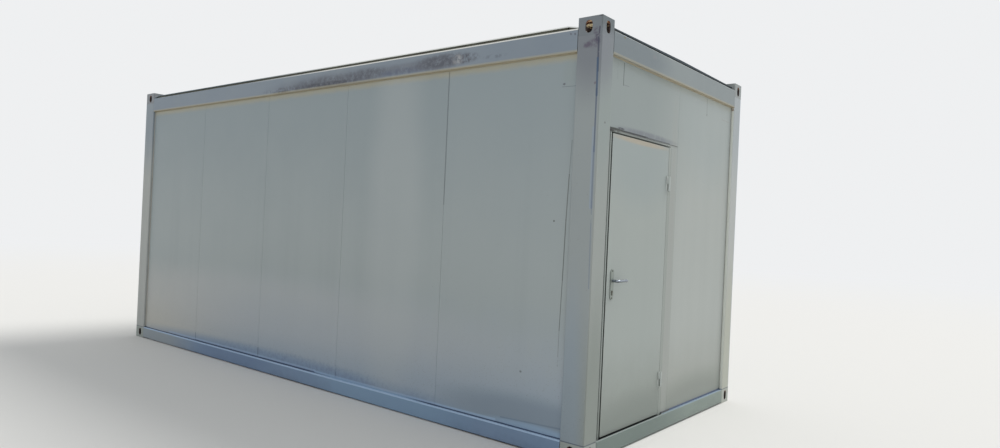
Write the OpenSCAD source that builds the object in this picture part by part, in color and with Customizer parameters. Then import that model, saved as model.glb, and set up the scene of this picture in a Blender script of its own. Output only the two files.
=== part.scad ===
// Steel container cabin with hollow corner castings, flat sandwich walls and one outward opening door.
// X runs along the length with the door end at +X, Z is up, and the origin is on the ground in the middle.

/* [Container] */
// Length over the corner castings
length = 6058; // [5400:1:7200]
// Width over the corner castings
width = 2438; // [2330:1:2900]
// Height over the corner castings
height = 2800; // [2560:1:3000]

/* [Corner castings] */
// Casting size along the container
casting_l = 178; // [170:1:200]
// Casting size across the container, and the width of the posts on the end faces
casting_w = 155; // [150:1:175]
// Height of a casting
casting_h = 118; // [112:1:130]
// Side wall of a casting
casting_wall = 13; // [8:0.5:13]
// Plate around the lock slot
casting_plate = 28; // [16:1:30]
// Lock slot length, along the container
slot_l = 124.5; // [100:0.5:124.5]
// Lock slot width
slot_w = 63.5; // [50:0.5:70]
// Slot centre from the end face
slot_from_end = 102.5; // [96:0.5:102.5]
// Slot centre from the side face
slot_from_side = 89.5; // [80:0.5:92]
// Height of the hook holes in the casting sides
hook_h = 80; // [70:1:84]
// Width of the hook hole in the long side
hook_side_w = 53; // [40:1:60]
// Width of the hook hole in the end
hook_end_w = 50; // [40:1:56]
// Hook hole centre from the corner, on the long side
hook_side_x = 97; // [80:1:100]
// Hook hole centre from the corner, on the end
hook_end_y = 76; // [68:1:84]
// Hook hole centre from the plate's outer face
hook_z = 62; // [56:1:66]
// Radius of the outer edges of castings and posts
edge_r = 8; // [3:1:10]

/* [Frame] */
// Wall thickness of the posts
post_wall = 4; // [3:0.5:8]
// Wall thickness of the rails
rail_wall = 4; // [3:0.5:6]
// Outer bend radius of the rails
rail_r = 7; // [6.5:0.5:10]
// Depth from the frame's outer faces to the wall's face
recess = 25; // [18:1:35]
// Height of the top rails
top_rail_h = 150; // [120:1:200]
// Top rails below the top of the castings
top_rail_drop = 62; // [50:1:75]
// Inward reach of the top rails' upper flange
top_flange = 80; // [50:1:120]
// Top of the bottom rails above the ground
bottom_rail_top = 120; // [119:1:150]
// Bottom rails above the ground
ground_gap = 6; // [4:1:12]
// Inward reach of the bottom rails' lower flange
bottom_flange = 60; // [40:1:80]

/* [Walls] */
// Thickness of the wall panels
wall_t = 60; // [50:1:90]
// Width of a whole panel along the long sides
panel_w = 1155; // [1080:1:1200]
// Bevel on the outer edges at a panel joint
joint_bevel = 3; // [1:0.5:6]
// Tongue thickness at a panel joint
tongue_t = 18; // [10:1:24]
// Tongue depth
tongue_d = 12; // [8:1:20]
// Clearance of a tongue in its groove
tongue_clear = 0.3; // [0.1:0.1:1]

/* [Floor and roof] */
// Sheet under the joists
underfloor_t = 1; // [0.8:0.1:3]
// Number of joists
joist_count = 9; // [5:1:13]
// Width of a joist's flanges
joist_w = 50; // [40:1:80]
// Wall thickness of a joist
joist_wall = 3; // [2:0.5:5]
// Floor board
board_t = 22; // [16:1:28]
// Floor covering
covering_t = 2; // [1.5:0.5:5]
// Ceiling underside below the top of the rails
ceiling_drop = 58; // [40:1:90]
// Ceiling board
ceiling_t = 10; // [6:1:16]
// Number of roof bearers
bearer_count = 8; // [5:1:12]
// Width of a roof bearer
bearer_w = 60; // [40:1:80]
// Wall thickness of a roof bearer
bearer_wall = 2; // [1.5:0.5:4]
// Roof edge set back from the outer faces of the side rails
roof_set_back = 14; // [6:1:20]
// Roof edge set back from the outer faces of the end rails
roof_end_set_back = 26; // [10:1:40]
// Height of the roof edge above the rails
roof_edge_h = 27; // [20:1:32]
// Height of the hem along the roof edge
hem_h = 7; // [4:0.5:12]
// The hem stands out of the upright part of the roof edge
hem_out = 10; // [4:0.5:14]
// Rise of the roof from its edge to its middle
roof_crown = 10; // [6:1:12]
// Roof sheet
roof_t = 1.5; // [1:0.5:3]
// Gap between two sheets in a row
sheet_gap = 0.5; // [0.3:0.1:2]
// Number of standing seams
seam_count = 7; // [3:1:11]
// Height of a standing seam
seam_h = 8; // [5:1:9]
// Width of a standing seam
seam_w = 10; // [6:1:16]
// Standing seams stop this far from the sides of the end sheets
seam_end = 25; // [20:1:60]
// Clearance between the roof and a casting, along the container
roof_clear_l = 82; // [2:1:120]
// Clearance between the roof and a casting, across the container
roof_clear_w = 3; // [1:0.5:6]
// Fall of a corner plate from the roof's edge to its casting
corner_fall = 17; // [5:1:20]
// Gap between a corner plate and the roof or the casting
corner_gap = 0.5; // [0.3:0.1:1]

/* [Door] */
// Width of the leaf
door_w = 837; // [760:1:860]
// Height of the leaf
door_h = 1973; // [1850:1:2050]
// Thickness of the leaf
door_t = 40; // [36:1:50]
// Leaf edge from the corner of the container
door_from_corner = 235; // [222:1:250]
// Gap at the lock edge of the leaf
lock_gap = 16; // [7:0.5:18]
// Gap at the hinge edge and the top of the leaf
leaf_gap = 5; // [5:0.5:8]
// Bottom of the leaf above the bottom rails
leaf_lift = 5; // [5:0.5:12]
// Face width of the frame on the hinge side
jamb_face = 36; // [25:1:42]
// Face height of the frame's head
head_face = 16; // [10:1:40]
// Wall between the door frame and the joint in the middle of the end
door_to_joint = 106; // [60:1:130]
// Sheet of the door frame
frame_wall = 2; // [1.5:0.5:3]
// The stop laps behind the leaf by this much
stop_lap = 15; // [10:1:22]
// Depth of the soft seal between the stop and the leaf
seal_depth = 4; // [3:0.5:6]
// Width of the seal
seal_w = 10; // [5:1:10]
// Seal's edge from the edge of the stop
seal_edge = 1; // [0.5:0.5:3]
// Clearance between the seal and the shut leaf
seal_clear = 0.3; // [0.1:0.1:1]
// Sill plate
sill_t = 4; // [3:0.5:6]
// Top of the sill below the top of the rail
sill_drop = 8.5; // [8:0.5:20]
// Width of the rail's edge that is left in front of the sill
sill_edge = 10; // [8:0.5:14]

/* [Hinges] */
// Height of each hinge above the ground
hinge_zs = [385, 1830];
// Length of one knuckle
knuckle_h = 53; // [40:1:70]
// Radius of a knuckle
knuckle_r = 7.5; // [7:0.5:9]
// Radius of the hinge pin
hinge_pin_r = 4.5; // [3:0.5:5]
// The pin ends this far below the top of the leaf's knuckle
pin_short = 5; // [3:0.5:12]
// Space above the pin in its bore
pin_room = 1; // [0.5:0.5:2]
// Running clearance around the pin
pin_clear = 0.05; // [0.02:0.01:0.09]
// Clearance between the knuckles
knuckle_clear = 0.3; // [0.2:0.1:1]
// Hinge axis in front of the leaf's face
hinge_out = 14.5; // [14.5:0.5:16]
// Hinge axis beyond the leaf's edge
hinge_beside = 4; // [3:0.5:4.5]
// Width of a hinge flap
flap_w = 30; // [20:1:34]
// Thickness of a hinge flap
flap_t = 4; // [3:0.5:6]

/* [Lock and lever] */
// Lever axis from the leaf's lock edge
lock_back_set = 67; // [55:1:80]
// Lever axis above the ground
lever_z = 1137; // [1000:1:1200]
// Key hole centre below the lever axis
key_drop = 72; // [66:1:92]
// Height of a lock plate
plate_h = 200; // [185:1:250]
// Width of a lock plate
plate_w = 40; // [34:1:50]
// Thickness of a lock plate
plate_t = 5; // [4:0.5:12]
// Middle of a lock plate below the lever axis
plate_drop = 25; // [15:1:40]
// Radius of the lever's bar
lever_r = 9; // [7:0.5:11]
// Length of the lever from its axis
lever_l = 125; // [110:1:150]
// Lever's bar in front of the leaf's face
lever_out = 48; // [40:1:60]
// Bend radius of the lever
lever_bend = 18; // [12:1:24]
// Side of the square spindle
spindle_w = 8; // [7:0.5:10]
// The leaf's hole around the spindle is wider than the lever's neck by this
spindle_clear = 2; // [1:0.5:4]
// Radius of the key cylinder's round part
key_r = 8.5; // [8:0.5:9]
// Width of the key cylinder's stem
key_stem_w = 10; // [8:0.5:11]
// Height of the key cylinder
key_h = 33; // [30:0.5:36]
// The key cylinder stands out of the plates
key_proud = 2; // [1:0.5:4]
// Fitting clearance around the key cylinder
key_clear = 0.3; // [0.1:0.1:0.5]
// Edge plate of the lock, height
edge_plate_h = 235; // [200:1:280]
// Edge plate of the lock, width
edge_plate_w = 20; // [16:1:24]
// Edge plate of the lock, thickness
edge_plate_t = 3; // [2:0.5:4]

/* [Hidden] */

paint = "#c3c7c6";
dark_paint = "#a9aeb0";
zinc = "#7d8078";
steel = "#b9bcbf";

$fn = 48;
reach = 1;

half_l = length / 2;
half_w = width / 2;

// Runs between the castings
side_run = length - 2 * casting_l;
end_run = width - 2 * casting_w;

// Levels
top_rail_top = height - top_rail_drop;
ceiling_z = top_rail_top - ceiling_drop;
bearer_h = ceiling_drop - ceiling_t - rail_wall;
joist_z = ground_gap + rail_wall + underfloor_t;
board_z = bottom_rail_top - rail_wall;
covering_z = board_z + board_t;
floor_z = covering_z + covering_t;

// Inner faces of the walls, from the outer faces of the frame
wall_in = recess + wall_t;

// Door, measured across the front end
leaf_y = door_from_corner - half_w;
leaf_y2 = leaf_y + door_w;
pocket_y = leaf_y - lock_gap;
pocket_y2 = leaf_y2 + leaf_gap;
frame_y = casting_w - half_w;
frame_y2 = pocket_y2 + jamb_face;
joint_y = frame_y2 + door_to_joint;
sill_top = bottom_rail_top - sill_drop;
leaf_z = bottom_rail_top + leaf_lift;
leaf_top = leaf_z + door_h;
pocket_top = leaf_top + leaf_gap;
frame_top = pocket_top + head_face;
leaf_x = half_l - recess;
leaf_back_x = leaf_x - door_t;
stop_x = leaf_back_x - seal_depth;
wall_back_x = half_l - wall_in;
hinge_x = leaf_x + hinge_out;
hinge_y = leaf_y2 + hinge_beside;
lever_y = leaf_y + lock_back_set;
key_z = lever_z - key_drop;

// Upright slot with round ends, as tall as h
module upright_slot(w, h) {
    square([w, h - w], center = true);
    for (s = [-1, 1])
        translate([0, s * (h - w) / 2])
            circle(d = w);
}

module rounded_rect(l, w, r) {
    translate([r, 0])
        square([l - 2 * r, w]);
    translate([0, r])
        square([l, w - 2 * r]);
    for (x = [r, l - r], y = [r, w - r])
        translate([x, y])
            circle(r);
}

// Rolled channel in depth and height, open to the inside, bent on its outer side
module channel(h, upper, lower, wall, bend) {
    deep = max(upper, lower);
    difference() {
        union() {
            translate([bend, 0])
                square([deep - bend, h]);
            translate([0, bend])
                square([bend, h - 2 * bend]);
            for (y = [bend, h - bend])
                translate([bend, y])
                    circle(bend);
        }
        translate([bend, wall])
            square([deep, h - 2 * wall]);
        translate([wall, bend])
            square([bend, h - 2 * bend]);
        for (y = [bend, h - bend])
            translate([bend, y])
                circle(bend - wall);
        if (lower < deep)
            translate([lower, -reach])
                square([deep, wall + 2 * reach]);
        if (upper < deep)
            translate([upper, h - wall - reach])
                square([deep, wall + 2 * reach]);
    }
}

// Extrudes a shape in depth and height along a wall whose outer face is off from the middle
module along_wall(run, off) {
    translate([-run / 2, -off, 0])
        rotate([90, 0, 90])
            linear_extrude(run)
                children();
}

// Puts what is drawn at the low corner of X and Y into one of the four corners
module at_corner(front, right) {
    translate([front ? half_l : -half_l, right ? half_w : -half_w, 0])
        mirror([front ? 1 : 0, 0, 0])
            mirror([0, right ? 1 : 0, 0])
                children();
}

// Hollow casting with a slot in its plate and hook holes in both outer sides
module casting() {
    difference() {
        linear_extrude(casting_h)
            rounded_rect(casting_l, casting_w, edge_r);
        translate([casting_wall, casting_wall, casting_plate])
            cube([
                casting_l - 2 * casting_wall,
                casting_w - 2 * casting_wall,
                casting_h - casting_plate - casting_wall
            ]);
        translate([slot_from_end, slot_from_side, -reach])
            rotate([0, 0, 90])
                linear_extrude(casting_plate + 2 * reach)
                    upright_slot(slot_w, slot_l);
        translate([hook_side_x, casting_wall + reach, hook_z])
            rotate([90, 0, 0])
                linear_extrude(casting_wall + 2 * reach)
                    upright_slot(hook_side_w, hook_h);
        translate([-reach, hook_end_y, hook_z])
            rotate([90, 0, 90])
                linear_extrude(casting_wall + 2 * reach)
                    upright_slot(hook_end_w, hook_h);
    }
}

module casting_bottom(front, right) {
    color(dark_paint)
        at_corner(front, right)
            casting();
}

module casting_top(front, right) {
    color(dark_paint)
        translate([0, 0, height])
            mirror([0, 0, 1])
                at_corner(front, right)
                    casting();
}

module corner_post(front, right) {
    color(paint)
        at_corner(front, right)
            translate([0, 0, casting_h])
                linear_extrude(height - 2 * casting_h)
                    difference() {
                        rounded_rect(casting_l, casting_w, edge_r);
                        translate([post_wall, post_wall])
                            square([casting_l - 2 * post_wall, casting_w - 2 * post_wall]);
                    }
}

module bottom_rail(run, off) {
    color(dark_paint)
        translate([0, 0, ground_gap])
            along_wall(run, off)
                channel(bottom_rail_top - ground_gap, wall_in, bottom_flange, rail_wall, rail_r);
}

// The front rail's upper flange is cut away under the door, up to its rolled edge
module bottom_rail_front() {
    color(dark_paint)
        difference() {
            rotate([0, 0, 90])
                bottom_rail(end_run, half_l);
            translate([wall_back_x - reach, frame_y, board_z - reach])
                cube([wall_in - sill_edge + reach, frame_y2 - frame_y, rail_wall + 2 * reach]);
        }
}

module top_rail(run, off) {
    color(paint)
        translate([0, 0, top_rail_top - top_rail_h])
            along_wall(run, off)
                channel(top_rail_h, top_flange, recess, rail_wall, rail_r);
}

// Plan of a board that fills the space inset from the frame's outer faces, cut out at the corners
module notched_plan(inset) {
    square([side_run, width - 2 * inset], center = true);
    square([length - 2 * inset, end_run], center = true);
}

// Three sheets in a row, a long one and one between the castings of each end
module underfloor_sheet() {
    color(zinc)
        translate([0, 0, ground_gap + rail_wall])
            linear_extrude(underfloor_t)
                difference() {
                    notched_plan(rail_r);
                    for (s = [-1, 1])
                        translate([s * (side_run + sheet_gap) / 2, 0])
                            square([sheet_gap, width], center = true);
                }
}

module floor_joists() {
    pitch = (side_run - joist_w) / (joist_count - 1);
    joist_run = width - 2 * rail_r;
    color(zinc)
        for (i = [0:joist_count - 1])
            translate([-side_run / 2 + i * pitch, joist_run / 2, joist_z])
                rotate([90, 0, 0])
                    linear_extrude(joist_run)
                        difference() {
                            square([joist_w, board_z - joist_z]);
                            translate([joist_wall, joist_wall])
                                square([joist_w, board_z - joist_z - 2 * joist_wall]);
                        }
}

module floor_board() {
    color("#b08d5b")
        translate([0, 0, board_z])
            linear_extrude(board_t)
                notched_plan(wall_in);
}

module floor_covering() {
    color("#8b8d8c")
        translate([0, 0, covering_z])
            linear_extrude(covering_t)
                notched_plan(wall_in);
}

module ceiling_board() {
    color("#e6e6e2")
        translate([0, 0, ceiling_z])
            linear_extrude(ceiling_t)
                notched_plan(rail_wall);
}

module roof_bearers() {
    pitch = (side_run - bearer_w) / (bearer_count - 1);
    bearer_run = width - 2 * rail_r;
    color(zinc)
        for (i = [0:bearer_count - 1])
            translate([-side_run / 2 + i * pitch, bearer_run / 2, ceiling_z + ceiling_t])
                rotate([90, 0, 0])
                    linear_extrude(bearer_run)
                        difference() {
                            square([bearer_w, bearer_h]);
                            translate([bearer_wall, bearer_wall])
                                square([bearer_w - 2 * bearer_wall, bearer_h - 2 * bearer_wall]);
                        }
}

// Roof from the level low up to its crowned top, inset from the hem, with the corners cut out
module roof_block(inset, low, skin) {
    side = half_w - roof_set_back - inset;
    end = half_l - roof_end_set_back - inset;
    edge = top_rail_top + roof_edge_h - skin;
    notch_l = casting_l + roof_clear_l + inset;
    notch_w = casting_w + roof_clear_w + inset;
    difference() {
        translate([-end, 0, 0])
            rotate([90, 0, 90])
                linear_extrude(2 * end)
                    polygon([
                        [-side, low], [-side, edge], [0, edge + roof_crown], [side, edge], [side, low]
                    ]);
        for (front = [false, true], right = [false, true])
            at_corner(front, right)
                translate([-reach, -reach, low - reach])
                    cube([notch_l + reach, notch_w + reach, top_rail_drop + 2 * reach]);
    }
}

// Rib across the roof, flattened at its ends
module standing_seam(x) {
    run = half_w - casting_w - roof_clear_w - seam_end;
    edge = roof_crown * (1 - run / (half_w - roof_set_back));
    translate([x - seam_w / 2, 0, top_rail_top + roof_edge_h - roof_t])
        rotate([90, 0, 90])
            linear_extrude(seam_w)
                polygon([
                    [-run, edge], [0, roof_crown], [run, edge],
                    [run - seam_h, edge + seam_h], [0, roof_crown + seam_h], [-run + seam_h, edge + seam_h]
                ]);
}

// Three hemmed sheets, a long one and one between the castings of each end, which meet in the outer seams
module roof_sheet() {
    seam_x = half_l - casting_l - roof_clear_l + sheet_gap / 2;
    color(zinc)
        difference() {
            union() {
                roof_block(0, top_rail_top + roof_edge_h - hem_h, 0);
                roof_block(hem_out, top_rail_top, 0);
                for (i = [0:seam_count - 1])
                    standing_seam(seam_x * (2 * i / (seam_count - 1) - 1));
            }
            roof_block(hem_out + roof_t, top_rail_top - reach, roof_t);
            for (s = [-1, 1])
                translate([s * seam_x - sheet_gap / 2, -half_w, top_rail_top - reach])
                    cube([sheet_gap, width, top_rail_drop]);
        }
}

// Sloping lid in each corner of the roof, with a hem and an upright that stands on the side rail
module roof_corner_plates() {
    low_x = half_l - casting_l - corner_gap;
    high_x = half_l - casting_l - roof_clear_l + corner_gap;
    high_z = top_rail_top + roof_edge_h;
    low_z = high_z - corner_fall;
    in_y = half_w - casting_w - roof_clear_w + corner_gap;
    hem_y = half_w - roof_set_back;
    color(zinc)
        for (front = [-1, 1], right = [-1, 1])
            scale([front, right, 1]) {
                corner_strip(high_x, low_x, high_z, low_z, in_y, hem_y, roof_t);
                corner_strip(high_x, low_x, high_z, low_z, hem_y - roof_t, hem_y, hem_h);
                corner_strip(high_x, low_x, high_z, low_z, hem_y - hem_out - roof_t, hem_y - hem_out,
                    roof_edge_h, top_rail_top);
            }
}

// Strip with a sloping top from x1 to x2 and y1 to y2, as deep as deep or down to the level foot
module corner_strip(x1, x2, z1, z2, y1, y2, deep, foot = undef) {
    translate([0, y2, 0])
        rotate([90, 0, 0])
            linear_extrude(y2 - y1)
                polygon([
                    [x1, z1], [x2, z2],
                    [x2, foot == undef ? z2 - deep : foot], [x1, foot == undef ? z1 - deep : foot]
                ]);
}

// Wall panel from x1 to x2: outer face at the recess, bevelled there, with a tongue or a groove
module panel(x1, x2, off, bevel1, bevel2, groove1, tongue2, low = bottom_rail_top, high = ceiling_z) {
    b1 = bevel1 ? joint_bevel : 0;
    b2 = bevel2 ? joint_bevel : 0;
    tongue_y = (wall_t - tongue_t) / 2;
    color(paint)
        translate([0, recess - off, low])
            linear_extrude(high - low)
                difference() {
                    union() {
                        polygon([
                            [x1 + b1, 0], [x2 - b2, 0], [x2, b2],
                            [x2, wall_t], [x1, wall_t], [x1, b1]
                        ]);
                        if (tongue2)
                            translate([x2, tongue_y])
                                square([tongue_d, tongue_t]);
                    }
                    if (groove1)
                        translate([x1 - reach, tongue_y - tongue_clear])
                            square([tongue_d + tongue_clear + reach, tongue_t + 2 * tongue_clear]);
                }
}

// Panels 1 to 5 along a long side, the outer two cut to meet the posts
module side_panel(i) {
    x1 = i == 1 ? -side_run / 2 : (i - 3.5) * panel_w;
    x2 = i == 5 ? side_run / 2 : (i - 2.5) * panel_w;
    panel(x1, x2, half_w, i > 1, i < 5, i > 1, i < 5);
}

module wall_left(i) {
    side_panel(i);
}

module wall_right(i) {
    rotate([0, 0, 180])
        side_panel(6 - i);
}

// Two panels fill an end from post to post
module wall_rear(i) {
    rotate([0, 0, -90])
        if (i == 1)
            panel(-end_run / 2, 0, half_l, false, true, false, true);
        else
            panel(0, end_run / 2, half_l, true, false, true, false);
}

// The joint in the front end follows the door, and lies in the middle
module wall_front_plain() {
    rotate([0, 0, 90])
        panel(joint_y, end_run / 2, half_l, true, false, true, false);
}

module wall_front_beside_door() {
    rotate([0, 0, 90])
        panel(frame_y2, joint_y, half_l, true, true, false, true, high = frame_top);
}

// It reaches from the post to the joint, and its lower edge is bevelled too
module wall_front_over_door() {
    color(paint)
        difference() {
            rotate([0, 0, 90])
                panel(-end_run / 2, joint_y, half_l, false, true, false, true, low = frame_top);
            translate([leaf_x, half_w, frame_top])
                rotate([90, 0, 0])
                    linear_extrude(width)
                        polygon([
                            [reach, -reach], [reach, joint_bevel + reach], [-joint_bevel - reach, -reach]
                        ]);
        }
}

// Plate sunk behind the rail's edge, with an upstand that covers the edge of the floor
module door_sill() {
    color(steel) {
        translate([wall_back_x, frame_y, sill_top - sill_t])
            cube([wall_in - rail_wall, frame_y2 - frame_y, sill_t]);
        translate([wall_back_x, leaf_y + stop_lap, sill_top - sill_t])
            cube([sill_t, door_w - 2 * stop_lap, floor_z - sill_top + sill_t]);
    }
}

// Frame with a pocket for the leaf and a stop behind it; skin shrinks it all round
module frame_body(skin) {
    lap = stop_lap - skin;
    foot = sill_top - (skin > 0 ? reach : 0);
    difference() {
        translate([wall_back_x + skin, frame_y + skin, foot])
            cube([
                wall_t - 2 * skin,
                frame_y2 - frame_y - 2 * skin,
                frame_top - skin - foot
            ]);
        translate([wall_back_x - reach, leaf_y + lap, foot - reach])
            cube([wall_t + 2 * reach, door_w - 2 * lap, leaf_top - lap - foot + reach]);
        translate([stop_x - skin, pocket_y - skin, foot - reach])
            cube([
                wall_t,
                pocket_y2 - pocket_y + 2 * skin,
                pocket_top + skin - foot + reach
            ]);
    }
}

module door_frame() {
    color(paint)
        difference() {
            frame_body(0);
            frame_body(frame_wall);
        }
}

// Soft strip on the face of the stop, on three sides
module door_seal() {
    out = stop_lap - seal_edge;
    thick = seal_depth - seal_clear;
    color("#1d1d1d")
        translate([stop_x, 0, 0])
            difference() {
                translate([0, leaf_y + out - seal_w, sill_top])
                    cube([thick, door_w - 2 * (out - seal_w), leaf_top - out + seal_w - sill_top]);
                translate([-reach, leaf_y + out, sill_top - reach])
                    cube([thick + 2 * reach, door_w - 2 * out, leaf_top - out - sill_top + reach]);
            }
}

// Knuckle and flap of a hinge at the axis; side is -1 for the leaf and 1 for the frame
module hinge_half(side) {
    cylinder(h = knuckle_h, r = knuckle_r);
    translate([-hinge_out, side > 0 ? 0 : -hinge_beside - flap_w, 0])
        cube([flap_t, flap_w + hinge_beside, knuckle_h]);
    translate([-hinge_out, side > 0 ? 0 : -flap_t, 0])
        cube([hinge_out, flap_t, knuckle_h]);
}

module hinge_frame_halves() {
    pin_h = knuckle_h - pin_short;
    color(steel)
        for (z = hinge_zs)
            translate([hinge_x, hinge_y, z]) {
                translate([0, 0, -knuckle_h - knuckle_clear])
                    hinge_half(1);
                translate([0, 0, -knuckle_clear - reach])
                    cylinder(h = pin_h + knuckle_clear + reach, r = hinge_pin_r);
            }
}

module hinge_leaf_halves() {
    bore_h = knuckle_h - pin_short + pin_room;
    color(steel)
        for (z = hinge_zs)
            translate([hinge_x, hinge_y, z])
                difference() {
                    hinge_half(-1);
                    translate([0, 0, -reach])
                        cylinder(h = bore_h + reach, r = hinge_pin_r + pin_clear);
                }
}

// Outline of the key cylinder, round above and narrow below, grown by clear
module key_outline(clear) {
    drop = key_h - key_r - key_stem_w / 2;
    circle(key_r + clear);
    translate([-key_stem_w / 2 - clear, -drop])
        square([key_stem_w + 2 * clear, drop]);
    translate([0, -drop])
        circle(key_stem_w / 2 + clear);
}

// Extrudes an outline in Y and Z along X from x1 to x2
module through_leaf(x1, x2, y, z) {
    translate([x1, y, z])
        rotate([90, 0, 90])
            linear_extrude(x2 - x1)
                children();
}

module door_leaf() {
    color(paint)
        difference() {
            translate([leaf_back_x, leaf_y, leaf_z])
                cube([door_t, door_w, door_h]);
            through_leaf(leaf_back_x - reach, leaf_x + reach, lever_y, lever_z)
                circle(lever_r + spindle_clear);
            through_leaf(leaf_back_x - reach, leaf_x + reach, lever_y, key_z)
                key_outline(key_clear);
            edge_plate(reach);
        }
}

// Plate let into the leaf's lock edge, grown out of that edge by out
module edge_plate(out) {
    translate([
        leaf_x - (door_t + edge_plate_w) / 2,
        leaf_y - out,
        lever_z - plate_drop - edge_plate_h / 2
    ])
        cube([edge_plate_w, edge_plate_t + out, edge_plate_h]);
}

module lock_plate(x) {
    difference() {
        through_leaf(x, x + plate_t, lever_y, lever_z - plate_drop)
            upright_slot(plate_w, plate_h);
        through_leaf(x - reach, x + plate_t + reach, lever_y, lever_z)
            circle(lever_r + pin_clear);
        through_leaf(x - reach, x + plate_t + reach, lever_y, key_z)
            key_outline(key_clear);
    }
}

module lock_plates() {
    color(steel) {
        lock_plate(leaf_x);
        lock_plate(leaf_back_x - plate_t);
        edge_plate(0);
    }
}

module key_cylinder() {
    out = plate_t + key_proud;
    color("#c9b37a")
        through_leaf(leaf_back_x - out, leaf_x + out, lever_y, key_z)
            key_outline(0);
}

// One bent lever from the leaf's face outward, drawn with its neck along X and its bar along Y
module lever_half() {
    cylinder_run = lever_out - lever_bend;
    rotate([0, 90, 0])
        cylinder(h = cylinder_run, r = lever_r);
    translate([cylinder_run, lever_bend, 0])
        rotate([0, 0, -90])
            rotate_extrude(angle = 90)
                translate([lever_bend, 0])
                    circle(lever_r);
    translate([lever_out, lever_bend, 0])
        rotate([-90, 0, 0])
            cylinder(h = lever_l - lever_bend - lever_r, r = lever_r);
    translate([lever_out, lever_l - lever_r, 0])
        sphere(lever_r);
}

module lever_handle() {
    color("#d5d7d9")
        translate([0, lever_y, lever_z]) {
            translate([leaf_x, 0, 0])
                lever_half();
            translate([leaf_back_x, 0, 0])
                mirror([1, 0, 0])
                    lever_half();
            translate([leaf_back_x - reach, -spindle_w / 2, -spindle_w / 2])
                cube([door_t + 2 * reach, spindle_w, spindle_w]);
        }
}

casting_bottom(true, false);  // corner_casting_bottom_front_left
casting_bottom(true, true);  // corner_casting_bottom_front_right
casting_bottom(false, false);  // corner_casting_bottom_rear_left
casting_bottom(false, true);  // corner_casting_bottom_rear_right
casting_top(true, false);  // corner_casting_top_front_left
casting_top(true, true);  // corner_casting_top_front_right
casting_top(false, false);  // corner_casting_top_rear_left
casting_top(false, true);  // corner_casting_top_rear_right
corner_post(true, false);  // corner_post_front_left
corner_post(true, true);  // corner_post_front_right
corner_post(false, false);  // corner_post_rear_left
corner_post(false, true);  // corner_post_rear_right
bottom_rail(side_run, half_w);  // bottom_rail_left
rotate([0, 0, 180]) bottom_rail(side_run, half_w);  // bottom_rail_right
bottom_rail_front();
rotate([0, 0, -90]) bottom_rail(end_run, half_l);  // bottom_rail_rear
top_rail(side_run, half_w);  // top_rail_left
rotate([0, 0, 180]) top_rail(side_run, half_w);  // top_rail_right
rotate([0, 0, 90]) top_rail(end_run, half_l);  // top_rail_front
rotate([0, 0, -90]) top_rail(end_run, half_l);  // top_rail_rear
underfloor_sheet();
floor_joists();
floor_board();
floor_covering();
ceiling_board();
roof_bearers();
roof_sheet();
roof_corner_plates();
wall_left(1);  // wall_left_1
wall_left(2);  // wall_left_2
wall_left(3);  // wall_left_3
wall_left(4);  // wall_left_4
wall_left(5);  // wall_left_5
wall_right(1);  // wall_right_1
wall_right(2);  // wall_right_2
wall_right(3);  // wall_right_3
wall_right(4);  // wall_right_4
wall_right(5);  // wall_right_5
wall_rear(1);  // wall_rear_1
wall_rear(2);  // wall_rear_2
wall_front_plain();
wall_front_beside_door();
wall_front_over_door();
door_sill();
door_frame();
door_seal();
hinge_frame_halves();
door_leaf();
hinge_leaf_halves();
lock_plates();
key_cylinder();
lever_handle();
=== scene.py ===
import math

import bmesh
import bpy
from mathutils import Matrix, Vector, noise


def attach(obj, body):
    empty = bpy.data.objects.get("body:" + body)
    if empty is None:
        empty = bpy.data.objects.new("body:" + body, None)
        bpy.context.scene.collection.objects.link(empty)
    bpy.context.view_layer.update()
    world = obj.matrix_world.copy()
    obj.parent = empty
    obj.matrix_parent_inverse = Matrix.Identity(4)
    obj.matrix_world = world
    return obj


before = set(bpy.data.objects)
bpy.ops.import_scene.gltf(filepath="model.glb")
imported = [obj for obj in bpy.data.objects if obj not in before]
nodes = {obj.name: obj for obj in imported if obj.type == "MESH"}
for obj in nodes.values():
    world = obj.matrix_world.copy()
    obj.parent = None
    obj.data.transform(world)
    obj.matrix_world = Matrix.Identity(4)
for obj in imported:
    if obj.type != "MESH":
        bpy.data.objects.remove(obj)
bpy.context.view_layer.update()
print("frame loaded with", len(nodes), "nodes")


# Lowest and highest value of a node on each axis
def span(name):
    return [(min(values), max(values)) for values in zip(*nodes[name].bound_box)]


# Upright faces of the cabin: the axis across each face, and its place on that axis
sideFrame = (1, span("top_rail_left")[1][0])
sideWall = (1, span("wall_left_5")[1][0])
endFrame = (0, span("top_rail_front")[0][1])
endWall = (0, span("wall_front_plain")[0][1])


# A place (along, up) on an upright face, as a point of the frame
def placeOn(axis, flat, level):
    return (flat[0], level, flat[1]) if axis == 1 else (level, flat[0], flat[1])


# Colours of three numbers are as they show on a screen, from 0 to 255
def tint(red, green, blue):
    linear = []
    for part in (red, green, blue):
        share = part / 255
        linear.append(share / 12.92 if share <= 0.04045 else ((share + 0.055) / 1.055) ** 2.4)
    return (*linear, 1.0)


def addObject(name, data):
    thing = bpy.data.objects.new(name, data)
    bpy.context.scene.collection.objects.link(thing)
    return thing


def addMesh(name, mesh, material):
    built = bpy.data.meshes.new(name)
    mesh.to_mesh(built)
    mesh.free()
    built.materials.append(material)
    return addObject(name, built)


# Camera where the photo was taken
viewSettings = {
    "place": (5.2609, -4.944, 1.465),
    "along": (-0.62344, 0.78187, 0.00213),
    "rollDegrees": 2.593,
    "lens": 25.08,
    "sensor": 36.0,
}


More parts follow.
